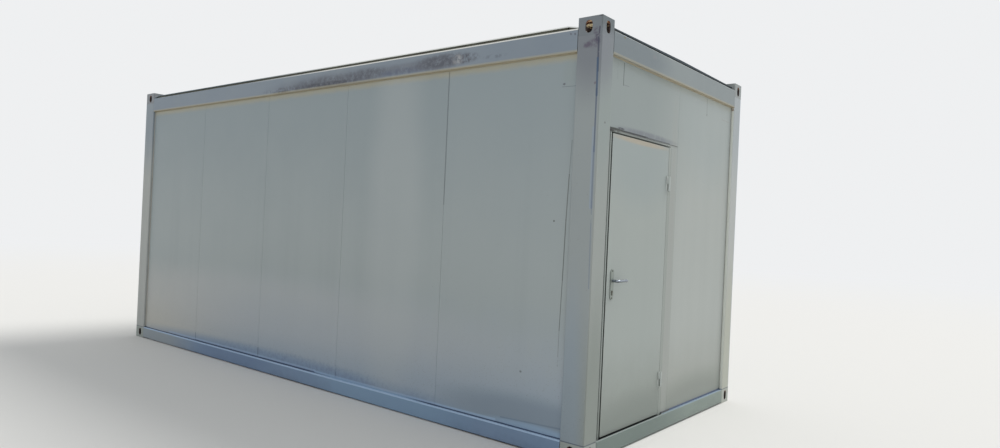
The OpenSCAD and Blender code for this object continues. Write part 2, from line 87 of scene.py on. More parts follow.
def makeCamera():
    along = Vector(viewSettings["along"]).normalized()
    right = along.cross(Vector((0, 0, 1))).normalized()
    up = right.cross(along)
    roll = math.radians(viewSettings["rollDegrees"])
    across = right * math.cos(roll) + up * math.sin(roll)
    above = up * math.cos(roll) - right * math.sin(roll)
    data = bpy.data.cameras.new("photoView")
    data.lens = viewSettings["lens"]
    data.sensor_width = viewSettings["sensor"]
    data.clip_end = 200
    turn = Matrix((across, above, -along)).transposed().to_4x4()
    camera = addObject("photoView", data)
    camera.matrix_world = Matrix.Translation(viewSettings["place"]) @ turn
    bpy.context.scene.camera = camera


# Helpers for node trees
def feed(tree, socket, value):
    if isinstance(value, bpy.types.NodeSocket):
        tree.links.new(value, socket)
    else:
        screenColour = socket.type == "RGBA" and len(value) == 3
        socket.default_value = tint(*value) if screenColour else value


def put(tree, kind, inputs=None, **settings):
    node = tree.nodes.new("ShaderNode" + kind)
    for name, value in settings.items():
        setattr(node, name, value)
    for name, value in (inputs or {}).items():
        feed(tree, node.inputs[name], value)
    return node


def calc(tree, operation, *values):
    return put(tree, "Math", dict(enumerate(values)), operation=operation).outputs[0]


# One operation over several values, from the first to the last
def chain(tree, operation, result, *others):
    for value in others:
        result = calc(tree, operation, result, value)
    return result


def scaled(tree, *values):
    return chain(tree, "MULTIPLY", *values)


def calcVector(tree, operation, *values):
    node = put(tree, "VectorMath", dict(enumerate(values)), operation=operation)
    single = operation in ("DOT_PRODUCT", "LENGTH", "DISTANCE")
    return node.outputs["Value" if single else "Vector"]


def split(tree, vector):
    return put(tree, "SeparateXYZ", {"Vector": vector}).outputs


# 0 at low, 1 at high, smooth between; low may lie above high
def fade(tree, value, low, high):
    inputs = {"Value": value, "From Min": low, "From Max": high}
    return put(tree, "MapRange", inputs, interpolation_type="SMOOTHSTEP").outputs["Result"]


# The colour over lies on the colour under where the mask is 1, and share thins it
def cover(tree, mask, under, over, share=1.0):
    if share != 1.0:
        mask = scaled(tree, mask, share)
    return put(tree, "Mix", {0: mask, 6: under, 7: over}, data_type="RGBA").outputs[2]


# Coats of colour over a colour: (mask, colour) or (mask, colour, share)
def layered(tree, colour, coats):
    for mask, ink, *share in coats:
        colour = cover(tree, mask, colour, ink, *share)
    return colour


def cloud(tree, place, scale, detail=2.0, rough=0.5):
    inputs = {"Vector": place, "Scale": scale, "Detail": detail, "Roughness": rough}
    return put(tree, "TexNoise", inputs).outputs[0]


# Cells: the distance from their middles, and the parts of the colour that each has by chance
def cells(tree, place, scale):
    made = put(tree, "TexVoronoi", {"Vector": place, "Scale": scale}).outputs
    return made["Distance"], put(tree, "SeparateColor", {"Color": made["Color"]}).outputs


def objectPlace(tree):
    return put(tree, "TexCoord").outputs["Object"]


def objectAxis(tree, index):
    return split(tree, objectPlace(tree))[index]


def stretched(tree, place, factors):
    return calcVector(tree, "MULTIPLY", place, factors)


# Offset from a centre, in half sizes
def offset(tree, place, centre, half):
    return calcVector(tree, "DIVIDE", calcVector(tree, "SUBTRACT", place, centre), half)


# 0 in the middle of a box, 1 at its sides
def boxReach(tree, place, centre, half):
    away = calcVector(tree, "ABSOLUTE", calcVector(tree, "SUBTRACT", place, centre))
    return chain(tree, "MAXIMUM", *split(tree, calcVector(tree, "DIVIDE", away, half)))


def boxMask(tree, centre, half):
    return calc(tree, "LESS_THAN", boxReach(tree, objectPlace(tree), centre, half), 1.0)


# Shared effects: each takes the inputs of its group and gives one mask or named outputs
def wornEdges(tree, into):
    softened = put(tree, "Bevel", {"Radius": into["Radius"]}, samples=4).outputs[0]
    plain = put(tree, "NewGeometry").outputs["Normal"]
    turn = calc(tree, "SUBTRACT", 1.0, calcVector(tree, "DOT_PRODUCT", softened, plain))
    broken = fade(tree, cloud(tree, objectPlace(tree), into["Scale"], 4.0, 0.65), 0.4, 0.62)
    return scaled(tree, fade(tree, turn, 0.01, 0.2), broken, into["Amount"])


# Grime and painted shade: darker where nearby faces close the surface in (ambient occlusion), broken up by
# noise
def gatheredGrimeAndShade(tree, into):
    openness = put(tree, "AmbientOcclusion", {"Distance": into["Reach"]}, samples=4).outputs["AO"]
    broken = fade(tree, cloud(tree, objectPlace(tree), into["Scale"], 5.0, 0.6), 0.25, 0.7)
    return scaled(tree, fade(tree, openness, 0.92, 0.3), broken, into["Amount"])


def scatteredSpecks(tree, into):
    distance, shades = cells(tree, objectPlace(tree), into["Scale"])
    chosen = calc(tree, "LESS_THAN", shades[0], into["Share"])
    return scaled(tree, chosen, fade(tree, distance, into["Size"], scaled(tree, into["Size"], 0.5)))


# Upright streaks, as rain leaves them
def rainRuns(tree, into):
    thin = stretched(tree, objectPlace(tree), (1.0, 1.0, 0.035))
    return fade(tree, cloud(tree, thin, into["Scale"], 3.0, 0.6), into["Low"], into["High"])


def raggedSpot(tree, into):
    place = objectPlace(tree)
    away = calcVector(tree, "LENGTH", offset(tree, place, into["Centre"], into["Half"]))
    torn = calc(tree, "SUBTRACT", cloud(tree, place, into["Scale"], 5.0, 0.65), 0.5)
    return fade(tree, calc(tree, "MULTIPLY_ADD", torn, scaled(tree, into["Ragged"], 4.0), away), 1.0, 0.45)


# Fine grain inside a soft oval
def softSmudge(tree, into):
    place = objectPlace(tree)
    away = calcVector(tree, "LENGTH", offset(tree, place, into["Centre"], into["Half"]))
    grain = fade(tree, cloud(tree, place, into["Scale"], 6.0, 0.7), into["Low"], into["High"])
    return scaled(tree, fade(tree, away, 1.0, 0.35), grain)


def brokenScratch(tree, into):
    place = objectPlace(tree)
    run = calcVector(tree, "SUBTRACT", into["To"], into["From"])
    reach = calcVector(tree, "SUBTRACT", place, into["From"])
    products = [calcVector(tree, "DOT_PRODUCT", vector, run) for vector in (reach, run)]
    held = put(tree, "Clamp", {"Value": calc(tree, "DIVIDE", *products)}).outputs[0]
    passed = put(tree, "VectorMath", {0: run, "Scale": held}, operation="SCALE").outputs["Vector"]
    away = calcVector(tree, "DISTANCE", place, calcVector(tree, "ADD", into["From"], passed))
    line = fade(tree, away, into["Width"], scaled(tree, into["Width"], 0.4))
    grain = cloud(tree, place, into["Scale"], 4.0, 0.7)
    return scaled(tree, line, fade(tree, grain, scaled(tree, into["Gaps"], 0.8), into["Gaps"]))


# The same box in all four quarters of the plan
def fourBoxes(tree, into):
    parts = split(tree, objectPlace(tree))
    folded = {0: calc(tree, "ABSOLUTE", parts[0]), 1: calc(tree, "ABSOLUTE", parts[1]), 2: parts[2]}
    place = put(tree, "CombineXYZ", folded).outputs[0]
    reach = boxReach(tree, place, into["Centre"], into["Half"])
    return fade(tree, reach, 1.0, calc(tree, "SUBTRACT", 1.0, into["Soft"]))


# Faces that look up and faces that look down
def upAndDown(tree, into):
    height = split(tree, put(tree, "NewGeometry").outputs["Normal"])[2]
    return {"Up": fade(tree, height, 0.35, 0.85), "Down": fade(tree, height, -0.2, -0.7)}


def rustColours(tree, into):
    grain = fade(tree, cloud(tree, objectPlace(tree), into["Scale"], 6.0, 0.7), 0.35, 0.65)
    return {"Colour": cover(tree, grain, into["Dark"], into["Bright"])}


def zincCrystals(tree, into):
    shades = cells(tree, objectPlace(tree), into["Scale"])[1]
    return {"Tone": shades[0], "Height": shades[1]}


# Grows from a height to another, torn so that no level line shows
def tornLevel(tree, into):
    place = objectPlace(tree)
    torn = calc(tree, "SUBTRACT", cloud(tree, place, into["Scale"], 4.0, 0.6), 0.5)
    level = calc(tree, "MULTIPLY_ADD", torn, into["Ragged"], split(tree, place)[2])
    return fade(tree, level, into["Start"], into["Full"])


sharedEffects = {
    "edgeWear": (wornEdges, {"Radius": 0.004, "Amount": 0.5, "Scale": 30.0}),
    "grimeAndShade": (gatheredGrimeAndShade, {"Reach": 0.06, "Amount": 0.5, "Scale": 9.0}),
    "specks": (scatteredSpecks, {"Scale": 60.0, "Share": 0.2, "Size": 0.25}),
    "runs": (rainRuns, {"Scale": 14.0, "Low": 0.5, "High": 0.75}),
    "spot": (raggedSpot, {"Centre": (0, 0, 0), "Half": (0.1, 0.1, 0.1), "Ragged": 0.6, "Scale": 30.0}),
    "smudge": (softSmudge, {
        "Centre": (0, 0, 0), "Half": (0.1, 0.1, 0.1), "Scale": 30.0, "Low": 0.45, "High": 0.6,
    }),
    "scratch": (brokenScratch, {
        "From": (0, 0, 0), "To": (0, 0, 1), "Width": 0.003, "Gaps": 0.5, "Scale": 12.0,
    }),
    "quarterBox": (fourBoxes, {"Centre": (0, 0, 0), "Half": (1, 1, 1), "Soft": 0.02}),
    "facing": (upAndDown, {}),
    "rustBloom": (rustColours, {"Scale": 40.0, "Dark": (0, 0, 0, 1), "Bright": (1, 1, 1, 1)}),
    "zincCells": (zincCrystals, {"Scale": 60.0}),
    "levelFade": (tornLevel, {"Start": 0.5, "Full": 0.1, "Ragged": 0.1, "Scale": 6.0}),
}


def makeEffects():
    kinds = {3: "NodeSocketVector", 4: "NodeSocketColor"}
    for name, (build, inputs) in sharedEffects.items():
        tree = bpy.data.node_groups.new(name, "ShaderNodeTree")
        for label, value in inputs.items():
            kind = "NodeSocketFloat" if isinstance(value, float) else kinds[len(value)]
            tree.interface.new_socket(label, in_out="INPUT", socket_type=kind).default_value = value
        made = build(tree, tree.nodes.new("NodeGroupInput").outputs)
        if not isinstance(made, dict):
            made = {"Mask": made}
        for label in made:
            kind = "NodeSocketColor" if label == "Colour" else "NodeSocketFloat"
            tree.interface.new_socket(label, in_out="OUTPUT", socket_type=kind)
        out = tree.nodes.new("NodeGroupOutput").inputs
        for label, value in made.items():
            feed(tree, out[label], value)
    print("shared effects:", len(bpy.data.node_groups))


def effect(tree, name, output="Mask", **values):
    node = tree.nodes.new("ShaderNodeGroup")
    node.node_tree = bpy.data.node_groups[name]
    for label, value in values.items():
        feed(tree, node.inputs[label], value)
    return node.outputs[output]


# Finishes
def newFinish(name, constants):
    material = bpy.data.materials.new(name)
    material.use_nodes = True
    tree = material.node_tree
    shader = tree.nodes["Principled BSDF"]
    for socket, value in constants.items():
        feed(tree, shader.inputs[socket], value)
    return material, tree, shader


# Roughness is (mask, what the mask adds, base), and bumps are (height, distance), the lowest layer first
def setSurface(tree, shader, colour, rough, bumps):
    feed(tree, shader.inputs["Base Color"], colour)
    feed(tree, shader.inputs["Roughness"], calc(tree, "MULTIPLY_ADD", *rough))
    below = {}
    for height, distance in bumps:
        layer = put(tree, "Bump", {"Height": height, "Distance": distance, "Strength": 1.0, **below})
        below = {"Normal": layer.outputs[0]}
    feed(tree, shader.inputs["Normal"], below["Normal"])


# One more coat over the colour that a finish has so far
def overpaint(tree, shader, mask, ink, share=1.0):
    painted = shader.inputs["Base Color"].links[0].from_socket
    feed(tree, shader.inputs["Base Color"], cover(tree, mask, painted, ink, share))


def dress(material, *names):
    for name in names:
        slots = nodes[name].material_slots
        if not slots:
            nodes[name].data.materials.append(material)
        for slot in slots:
            slot.material = material


# What the numbers of each kind of mark say
markInputs = {
    "spot": ("Centre", "Half", "ink", "share", "Ragged", "Scale"),
    "smudge": ("Centre", "Half", "ink", "share", "Low", "High", "Scale"),
    "scratch": ("From", "To", "Width", "ink", "share", "Gaps"),
}


def markCoats(tree, marks):
    coats = []
    for kind, *values in marks:
        inputs = dict(zip(markInputs[kind], values))
        ink = inputs.pop("ink")
        share = inputs.pop("share")
        coats.append((effect(tree, kind, **inputs), ink, share))
    return coats


# Marks on an upright face have their places and half sizes as (along, up) there;
# a third half size is the depth into the face, where it isn't the usual one
def marksOn(face, marks, depth=0.05):
    axis, level = face
    placed = []
    for kind, first, second, *rest in marks:
        across = level
        if kind != "scratch":
            across = second[2] if len(second) > 2 else depth
        placed.append((kind, placeOn(axis, first, level), placeOn(axis, second, across), *rest))
    return placed


paintBasics = {
    "coat": (171, 179, 176),
    "chalk": (178, 184, 181),
    "cloudScale": 0.9,
    "rough": 0.5,
    "roughSpread": 0.16,
    "peel": 0.00012,
    "peelScale": 220.0,
    "wave": 0.0016,
    "waveScale": (1.6, 1.6, 0.35),
    "wearColour": (120, 124, 126),
    "wearAmount": 0.35,
    "wearRadius": 0.004,
    "grimeAndShadeColour": (112, 110, 102),
    "grimeAndShadeAmount": 0.4,
    "grimeAndShadeReach": 0.03,
    "runColour": (152, 158, 156),
    "runAmount": 0.22,
    "runScale": 4.5,
    "runLow": 0.4,
    "speckColour": (112, 106, 96),
    "speckAmount": 0.5,
    "speckShare": 0.08,
    "speckScale": 38.0,
    "speckSize": 0.12,
    "splashColour": (112, 120, 130),
    "splashTop": None,
    "splashFull": 0.0,
    "splashAmount": 0.45,
    "splashRagged": 0.25,
    "splashEnd": None,
    "splashEndAlong": (-0.2, -2.8),
    "drops": {"Scale": 95.0, "Share": 0.3, "Size": 0.3},
    "dropAmount": 0.6,
    "highInk": None,
    "highLevels": {"Start": 1.1, "Full": 2.6, "Ragged": 0.5, "Scale": 1.5},
    "stainInk": None,
    "stainAmount": 0.7,
    "stainLevels": {"Start": 2.52, "Full": 2.575, "Ragged": 0.03, "Scale": 14.0},
    "ledgeSkyLight": None,
    "undersideShading": None,
    "marks": [],
}


def splashCoats(tree, look):
    levels = {"Start": look["splashTop"], "Full": look["splashFull"], "Ragged": look["splashRagged"]}
    low = effect(tree, "levelFade", **levels)
    drops = scaled(tree, low, effect(tree, "specks", **look["drops"]))
    splash = look["splashColour"]
    if look["splashEnd"]:
        along = fade(tree, objectAxis(tree, 0), *look["splashEndAlong"])
        splash = cover(tree, along, splash, look["splashEnd"])
    return [(low, splash, look["splashAmount"]), (drops, look["speckColour"], look["dropAmount"])]


def makePaint(name, changes, lining=None):
    look = {**paintBasics, **changes}
    material, tree, shader = newFinish(name, {"IOR": 1.45, "Specular IOR Level": 0.4})
    place = objectPlace(tree)
    grimeAndShade = effect(tree, "grimeAndShade", Reach=look["grimeAndShadeReach"], Amount=look["grimeAndShadeAmount"])
    chalk = cloud(tree, place, look["cloudScale"], 3.0)
    runs = effect(tree, "runs", Scale=look["runScale"], Low=look["runLow"])
    coats = [(chalk, look["chalk"]), (runs, look["runColour"], look["runAmount"])]
    # Faces that look up can get a painted sky light, and faces that look down a painted shading: warm bounce
    # light under the top rails, shade under the bottom rails
    for side, ink in (("Up", look["ledgeSkyLight"]), ("Down", look["undersideShading"])):
        if ink:
            coats.append((effect(tree, "facing", side), ink))
    size, share = look["speckSize"], look["speckShare"]
    dust = effect(tree, "specks", Scale=look["speckScale"], Share=share, Size=size)
    coats += [(dust, look["speckColour"], look["speckAmount"]), (grimeAndShade, look["grimeAndShadeColour"])]
    if look["splashTop"]:
        coats += splashCoats(tree, look)
    if look["highInk"]:
        coats.append((effect(tree, "levelFade", **look["highLevels"]), look["highInk"]))
    if look["stainInk"]:
        stain = effect(tree, "levelFade", **look["stainLevels"])
        coats.append((stain, look["stainInk"], look["stainAmount"]))
    coats += markCoats(tree, look["marks"])
    wear = effect(tree, "edgeWear", Radius=look["wearRadius"], Amount=look["wearAmount"])
    coats.append((wear, look["wearColour"]))
    if lining:
        board = cover(tree, cloud(tree, place, 2.5, 4.0), lining["board"], lining["shade"])
        coats.append((effect(tree, "quarterBox", **lining["room"]), board))
    colour = layered(tree, look["coat"], coats)
    spread = look["roughSpread"]
    dull = calc(tree, "MULTIPLY_ADD", cloud(tree, place, 3.0, 4.0), spread, look["rough"] - spread / 2)
    wave = cloud(tree, stretched(tree, place, look["waveScale"]), 1.0, 1.0)
    peel = cloud(tree, place, look["peelScale"], 2.0)
    setSurface(tree, shader, colour, (grimeAndShade, 0.3, dull), [(wave, look["wave"]), (peel, look["peel"])])
    return material, tree, shader


# Each coat has its material's name, what is its own in the look, its marks and the nodes it covers
def dressInCoats(makeCoat, basicLook, coats):
    for name, changes, marks, pieces in coats:
        dress(makeCoat(name, {**basicLook, **changes, "marks": marks}), *pieces)


# Walls: the panel next to the door end has most of the marks
wallLook = {
    "coat": (162, 171, 172),
    "chalk": (168, 176, 176),
    "runColour": (148, 156, 158),
    "stainInk": (176, 170, 146),
}
plainWallLook = {"coat": (165, 172, 170), "chalk": (171, 177, 174)}
leftWallLook = {
    "highInk": (148, 159, 163),
    "splashColour": (154, 168, 184),
    "splashEnd": (196, 193, 184),
    "splashTop": 1.05,
    "splashFull": 0.2,
    "splashAmount": 0.72,
}
nearWallLook = {**leftWallLook, "highInk": (151, 162, 166)}
frontWallLook = {
    "coat": (170, 176, 173),
    "chalk": (176, 181, 177),
    "runColour": (158, 163, 160),
    "stainInk": (180, 178, 156),
    "splashColour": (146, 148, 138),
    "splashTop": 0.85,
    "splashFull": 0.1,
}
liningLook = {
    "board": (206, 206, 199),
    "shade": (196, 197, 190),
    "room": {"Centre": (0, 0, 1.4), "Half": (2.955, 1.145, 1.6), "Soft": 0.001},
}
slantLineInk = (104, 108, 106)
jointInk = (84, 90, 92)
footJointInk = (84, 96, 114)
leftWallMarks = marksOn(sideWall, [
    # A broad lighter patch low on the side is painted light
    ("smudge", (-0.5, 0.58), (4.2, 0.42), (188, 190, 190), 0.4, -0.3, 0.1, 2.0),
    ("smudge", (-0.3, 0.12), (3.2, 0.13), (120, 144, 172), 0.8, -0.2, 0.3, 6.0),
])
nearWallMarks = marksOn(sideWall, [
    ("smudge", (2.6, 0.21), (1.1, 0.18), (134, 148, 161), 0.85, -0.3, 0.1, 2.0),
    # A thin dark slanted line runs down beside the post
    ("scratch", (2.829, 2.03), (2.819, 1.81), 0.0045, slantLineInk, 0.45, 0.35),
    ("scratch", (2.819, 1.81), (2.809, 1.52), 0.0055, slantLineInk, 0.8, 0.3),
    ("scratch", (2.809, 1.52), (2.802, 1.134), 0.0055, slantLineInk, 0.85, 0.3),
    ("scratch", (2.802, 1.134), (2.794, 0.81), 0.0045, slantLineInk, 0.8, 0.35),
    ("scratch", (2.794, 0.81), (2.793, 0.58), 0.004, slantLineInk, 0.45, 0.4),
    ("smudge", (2.79, 2.465), (0.075, 0.12), (150, 160, 158), 0.35, 0.1, 0.3, 20.0),
    ("scratch", (2.735, 2.379), (2.848, 2.377), 0.0025, (112, 118, 118), 0.7, 0.3),
    ("spot", (2.75, 2.396), (0.013, 0.011), (92, 92, 100), 0.75, 0.4, 60.0),
    ("spot", (2.717, 1.51), (0.009, 0.009), (84, 84, 80), 0.8, 0.3, 60.0),
    ("spot", (2.501, 0.497), (0.012, 0.012), (94, 98, 98), 0.7, 0.4, 60.0),
    # A pale blue patch and line just above the ledge are painted light
    ("smudge", (2.62, 0.135), (0.5, 0.05, 0.03), (150, 176, 202), 0.75, -0.2, 0.2, 3.0),
    ("scratch", (1.735, 0.133), (2.3, 0.136), 0.012, (166, 192, 218), 0.65, 0.1),
    ("scratch", (2.35, 0.164), (2.85, 0.186), 0.007, (92, 110, 130), 0.4, 0.35),
    ("scratch", (1.736, 1.6), (1.736, 2.58), 0.0035, jointInk, 0.45, 0.25),
])
lowWallMarks = marksOn(sideWall, [
    ("smudge", (0.1, 0.12), (2.3, 0.15), (112, 124, 148), 0.6, 0.4, 0.7, 30.0),
    ("scratch", (-1.7325, 0.12), (-1.7325, 0.2), 0.008, footJointInk, 0.5, 0.3),
    ("scratch", (-0.5775, 0.12), (-0.5775, 0.21), 0.01, footJointInk, 0.6, 0.3),
    ("scratch", (0.5775, 0.12), (0.5775, 0.17), 0.007, footJointInk, 0.5, 0.3),
    # The dark line along the wall's foot is painted shade in the joint; the two pale blue lines above it are
    # painted light
    ("scratch", (-1.73, 0.125), (0.3, 0.125), 0.009, (44, 62, 92), 0.85, 0.1),
    ("scratch", (-2.3, 0.141), (0.3, 0.14), 0.012, (158, 182, 210), 0.5, 0.1),
    ("scratch", (0.3, 0.132), (1.73, 0.132), 0.014, (158, 184, 212), 0.6, 0.1),
])
jointAndLitBandMarks = marksOn(sideWall, [
    ("scratch", (1.729, 1.6), (1.729, 2.58), 0.0035, jointInk, 0.45, 0.25),
    # A broad lighter upright band is painted light
    ("smudge", (1.2, 1.5), (0.42, 2.2), (182, 188, 188), 0.35, -0.2, 0.2, 1.0),
])
frontWallMarks = marksOn(endWall, [
    ("smudge", (0.5, 0.12), (1.3, 0.3, 0.02), (140, 146, 140), 0.8, -0.3, 0.1, 1.0),
    ("smudge", (-1.15, 2.45), (1.75, 1.5, 1.0), (142, 152, 152), 0.85, -0.3, 0.1, 1.0),
    ("smudge", (0.6, 2.45), (0.9, 0.8, 0.02), (156, 167, 168), 0.5, -0.3, 0.1, 1.0),
    ("smudge", (-0.06, 1.1), (0.09, 1.7, 0.02), (158, 162, 158), 0.8, -0.3, 0.1, 1.0),
    # The dark line along the wall's foot is painted shade in the joint
    ("scratch", (-0.1, 0.124), (1.06, 0.124), 0.008, (66, 76, 112), 0.8, 0.1),
    ("scratch", (-0.875, 2.57), (-0.877, 2.425), 0.005, (74, 80, 80), 0.9, 0.3),
    ("scratch", (-0.877, 2.428), (-0.8, 2.43), 0.004, (118, 122, 120), 0.5, 0.4),
    ("scratch", (-0.962, 2.56), (-0.955, 2.45), 0.003, (120, 126, 126), 0.5, 0.4),
    ("scratch", (0.524, 2.57), (0.528, 2.442), 0.0045, (98, 100, 98), 0.75, 0.35),
    ("spot", (0.528, 2.44), (0.012, 0.012), (104, 106, 104), 0.6, 0.4, 60.0),
    ("scratch", (0.86, 2.452), (1.02, 2.45), 0.003, (150, 136, 130), 0.5, 0.4),
    ("smudge", (-0.5, 2.138), (0.58, 0.034), (120, 124, 132), 0.8, 0.1, 0.6, 14.0),
    ("scratch", (-1.02, 2.1245), (-0.5, 2.1245), 0.009, (42, 46, 48), 0.9, 0.2),
    ("scratch", (-0.52, 2.1245), (-0.14, 2.1245), 0.006, (92, 98, 102), 0.8, 0.3),
    ("smudge", (-0.88, 2.138), (0.06, 0.01), (66, 68, 76), 0.9, 0.3, 0.5, 40.0),
    ("smudge", (-0.95, 2.126), (0.11, 0.012), (66, 70, 66), 0.9, 0.3, 0.5, 40.0),
    ("spot", (-1.025, 2.124), (0.026, 0.012), (58, 60, 56), 0.8, 0.4, 40.0),
])


def makeWallPaint(name, look):
    return makePaint(name, look, liningLook)[0]


def dressWalls():
    hidden = ["wall_right_%d" % index for index in range(1, 6)] + ["wall_rear_1", "wall_rear_2"]
    front = ["wall_front_plain", "wall_front_beside_door", "wall_front_over_door"]
    low = leftWallMarks + lowWallMarks
    dressInCoats(makeWallPaint, wallLook, [
        ("wallPaint", plainWallLook, [], hidden),
        ("wallPaintSplashed", leftWallLook, low, ["wall_left_1", "wall_left_2", "wall_left_3"]),
        ("wallPaintLitBand", leftWallLook, low + jointAndLitBandMarks, ["wall_left_4"]),
        ("wallPaintNearDoorEnd", nearWallLook, leftWallMarks + nearWallMarks, ["wall_left_5"]),
        ("wallPaintDoorEnd", frontWallLook, frontWallMarks, front),
    ])


topRailLook = {
    "coat": (131, 143, 155),
    "chalk": (141, 151, 161),
    "cloudScale": 2.2,
    "wave": 0.0008,
    "waveScale": (2.0, 2.0, 6.0),
    "grimeAndShadeColour": (124, 118, 106),
    "grimeAndShadeAmount": 0.35,
    "runAmount": 0.12,
    "wearColour": (128, 130, 128),
    "wearAmount": 0.2,
    # Painted warm bounce light on the rail's faces that look down
    "undersideShading": (168, 158, 136),
}
endRailCoat = {"coat": (136, 145, 148), "chalk": (143, 151, 152), "cloudScale": 1.4}
topRailBands = {
    "lipColour": (172, 166, 144),
    "lip": (2.607, 2.597),
    "bendHighlight": (244, 244, 238),
    "bend": (2.7265, 2.729),
    "bendSide": (1.195, 1.205),
    "bendAlong": (-1.4, 0.9),
}
smudgeInk = (88, 91, 100)
dotInk = (82, 80, 94)
topRailMarks = marksOn(sideFrame, [
    ("smudge", (0.5, 2.64), (1.25, 0.085), (102, 106, 116), 0.6, 0.2, 0.6, 6.0),
    ("smudge", (-0.25, 2.615), (0.5, 0.04), smudgeInk, 0.7, 0.4, 0.66, 26.0),
    ("smudge", (0.42, 2.63), (0.75, 0.066), smudgeInk, 0.75, 0.3, 0.66, 22.0),
    ("smudge", (0.3, 2.612), (0.62, 0.03), (74, 76, 84), 0.8, 0.34, 0.58, 36.0),
    ("smudge", (0.85, 2.65), (0.4, 0.06), smudgeInk, 0.7, 0.34, 0.66, 28.0),
    ("smudge", (1.25, 2.628), (0.36, 0.036), (96, 106, 126), 0.8, 0.3, 0.6, 24.0),
    ("smudge", (1.25, 2.655), (0.3, 0.05), (112, 116, 126), 0.6, 0.3, 0.66, 20.0),
    ("smudge", (1.6, 2.65), (0.38, 0.075), (98, 100, 110), 0.7, 0.2, 0.6, 14.0),
    ("smudge", (1.68, 2.66), (0.36, 0.07), smudgeInk, 0.8, 0.36, 0.58, 34.0),
    ("smudge", (1.88, 2.655), (0.2, 0.05), (78, 78, 86), 0.75, 0.4, 0.6, 40.0),
    ("smudge", (1.83, 2.655), (0.07, 0.05), (182, 184, 186), 0.7, 0.36, 0.6, 34.0),
    ("smudge", (2.17, 2.638), (0.14, 0.022), smudgeInk, 0.4, 0.44, 0.64, 44.0),
    ("spot", (2.8, 2.707), (0.012, 0.01, 0.05), dotInk, 0.7, 0.5, 60.0),
    ("spot", (2.83, 2.703), (0.01, 0.012, 0.05), dotInk, 0.6, 0.5, 60.0),
    ("smudge", (-0.35, 2.6), (0.16, 0.016), (74, 72, 74), 0.8, 0.3, 0.55, 30.0),
], depth=0.06)
frontRailMarks = marksOn(endFrame, [
    ("smudge", (-0.8, 2.66), (0.75, 0.16), (116, 126, 132), 0.8, 0.0, 0.5, 4.0),
    ("spot", (-0.93, 2.722), (0.014, 0.008), (122, 108, 62), 0.7, 0.3, 60.0),
    ("spot", (-0.493, 2.69), (0.035, 0.02), (150, 140, 142), 0.2, 0.5, 40.0),
])


# The lower lip is stained, and the bend at the top of the long sides has a painted highlight, strongest near
# the door end
def makeTopRailPaint(name, look):
    material, tree, shader = makePaint(name, look)
    parts = split(tree, objectPlace(tree))
    bands = topRailBands
    overpaint(tree, shader, fade(tree, parts[2], *bands["lip"]), bands["lipColour"], 0.5)
    high = fade(tree, parts[2], *bands["bend"])
    side = fade(tree, calc(tree, "ABSOLUTE", parts[1]), *bands["bendSide"])
    shine = scaled(tree, fade(tree, parts[0], *bands["bendAlong"]), 0.9)
    overpaint(tree, shader, scaled(tree, high, side, shine), bands["bendHighlight"])
    return material


def dressTopRails():
    dressInCoats(makeTopRailPaint, topRailLook, [
        ("topRailPaint", endRailCoat, [], ["top_rail_right", "top_rail_rear"]),
        ("topRailPaintSmudged", {}, topRailMarks, ["top_rail_left"]),
        ("topRailPaintDoorEnd", endRailCoat, frontRailMarks, ["top_rail_front"]),
    ])


# The long side's rail is bluer and darker than the end rails: partly old blue paint, partly painted skylit
# shade
bottomRailLook = {
    "coat": (118, 141, 169),
    "chalk": (128, 149, 175),
    "cloudScale": 2.2,
    "wave": 0.0008,
    "waveScale": (2.5, 2.5, 8.0),
    "grimeAndShadeColour": (84, 92, 106),
    "runAmount": 0.12,
    "runColour": (106, 124, 150),
    "speckShare": 0.2,
    "splashColour": (88, 102, 124),
    "splashTop": 0.06,
    "splashAmount": 0.2,
    "wearColour": (104, 118, 136),
    "wearAmount": 0.3,
    "wearRadius": 0.006,
    # Painted sky light on the ledge and painted shade on the faces that look down
    "ledgeSkyLight": (184, 196, 208),
    "undersideShading": (48, 50, 56),
}
endBottomRailLook = {
    "coat": (129, 142, 137),
    "chalk": (138, 150, 143),
    "runColour": (120, 132, 128),
    "splashColour": (112, 120, 116),
    "wearColour": (116, 126, 126),
    "grimeAndShadeColour": (98, 104, 102),
    "ledgeSkyLight": (128, 146, 164),
}
railBendHighlight = {"levels": (0.11, 0.114), "ink": (174, 199, 226)}
doorLedge = {"centre": (3.02, -0.585, 0.12), "half": (0.05, 0.48, 0.02)}
doorLedgeShade = (124, 134, 132)
sideRailMarks = marksOn(sideFrame, [
    ("smudge", (-2.9, 0.06), (1.4, 0.4), (150, 158, 162), 0.85, -0.2, 0.3, 2.0),
    ("smudge", (-1.0, 0.06), (0.9, 0.4), (104, 126, 158), 0.6, -0.2, 0.3, 2.0),
    ("smudge", (1.2, 0.06), (1.1, 0.4), (132, 160, 186), 0.7, -0.2, 0.3, 2.0),
], depth=0.06)
doorEndRailMarks = marksOn(endFrame, [
    ("smudge", (-0.75, 0.06), (1.2, 0.4), (112, 125, 121), 0.85, -0.2, 0.3, 2.0),
])


# Under the long side's ledge the bend is lighter, a painted sky highlight, and under the door the ledge is
# darker, a painted shade
def dressBottomRails():
    side, tree, shader = makePaint("bottomRailPaintSkyShaded", {**bottomRailLook, "marks": sideRailMarks})
    overpaint(tree, shader, fade(tree, objectAxis(tree, 2), *railBendHighlight["levels"]), railBendHighlight["ink"], 0.8)
    dress(side, "bottom_rail_left")
    look = {**bottomRailLook, **endBottomRailLook, "marks": doorEndRailMarks}
    ends, tree, shader = makePaint("bottomRailPaintEnds", look)
    ledge = scaled(tree, boxMask(tree, **doorLedge), effect(tree, "facing", "Up"))
    overpaint(tree, shader, ledge, doorLedgeShade)
    dress(ends, "bottom_rail_front", "bottom_rail_rear", "bottom_rail_right")


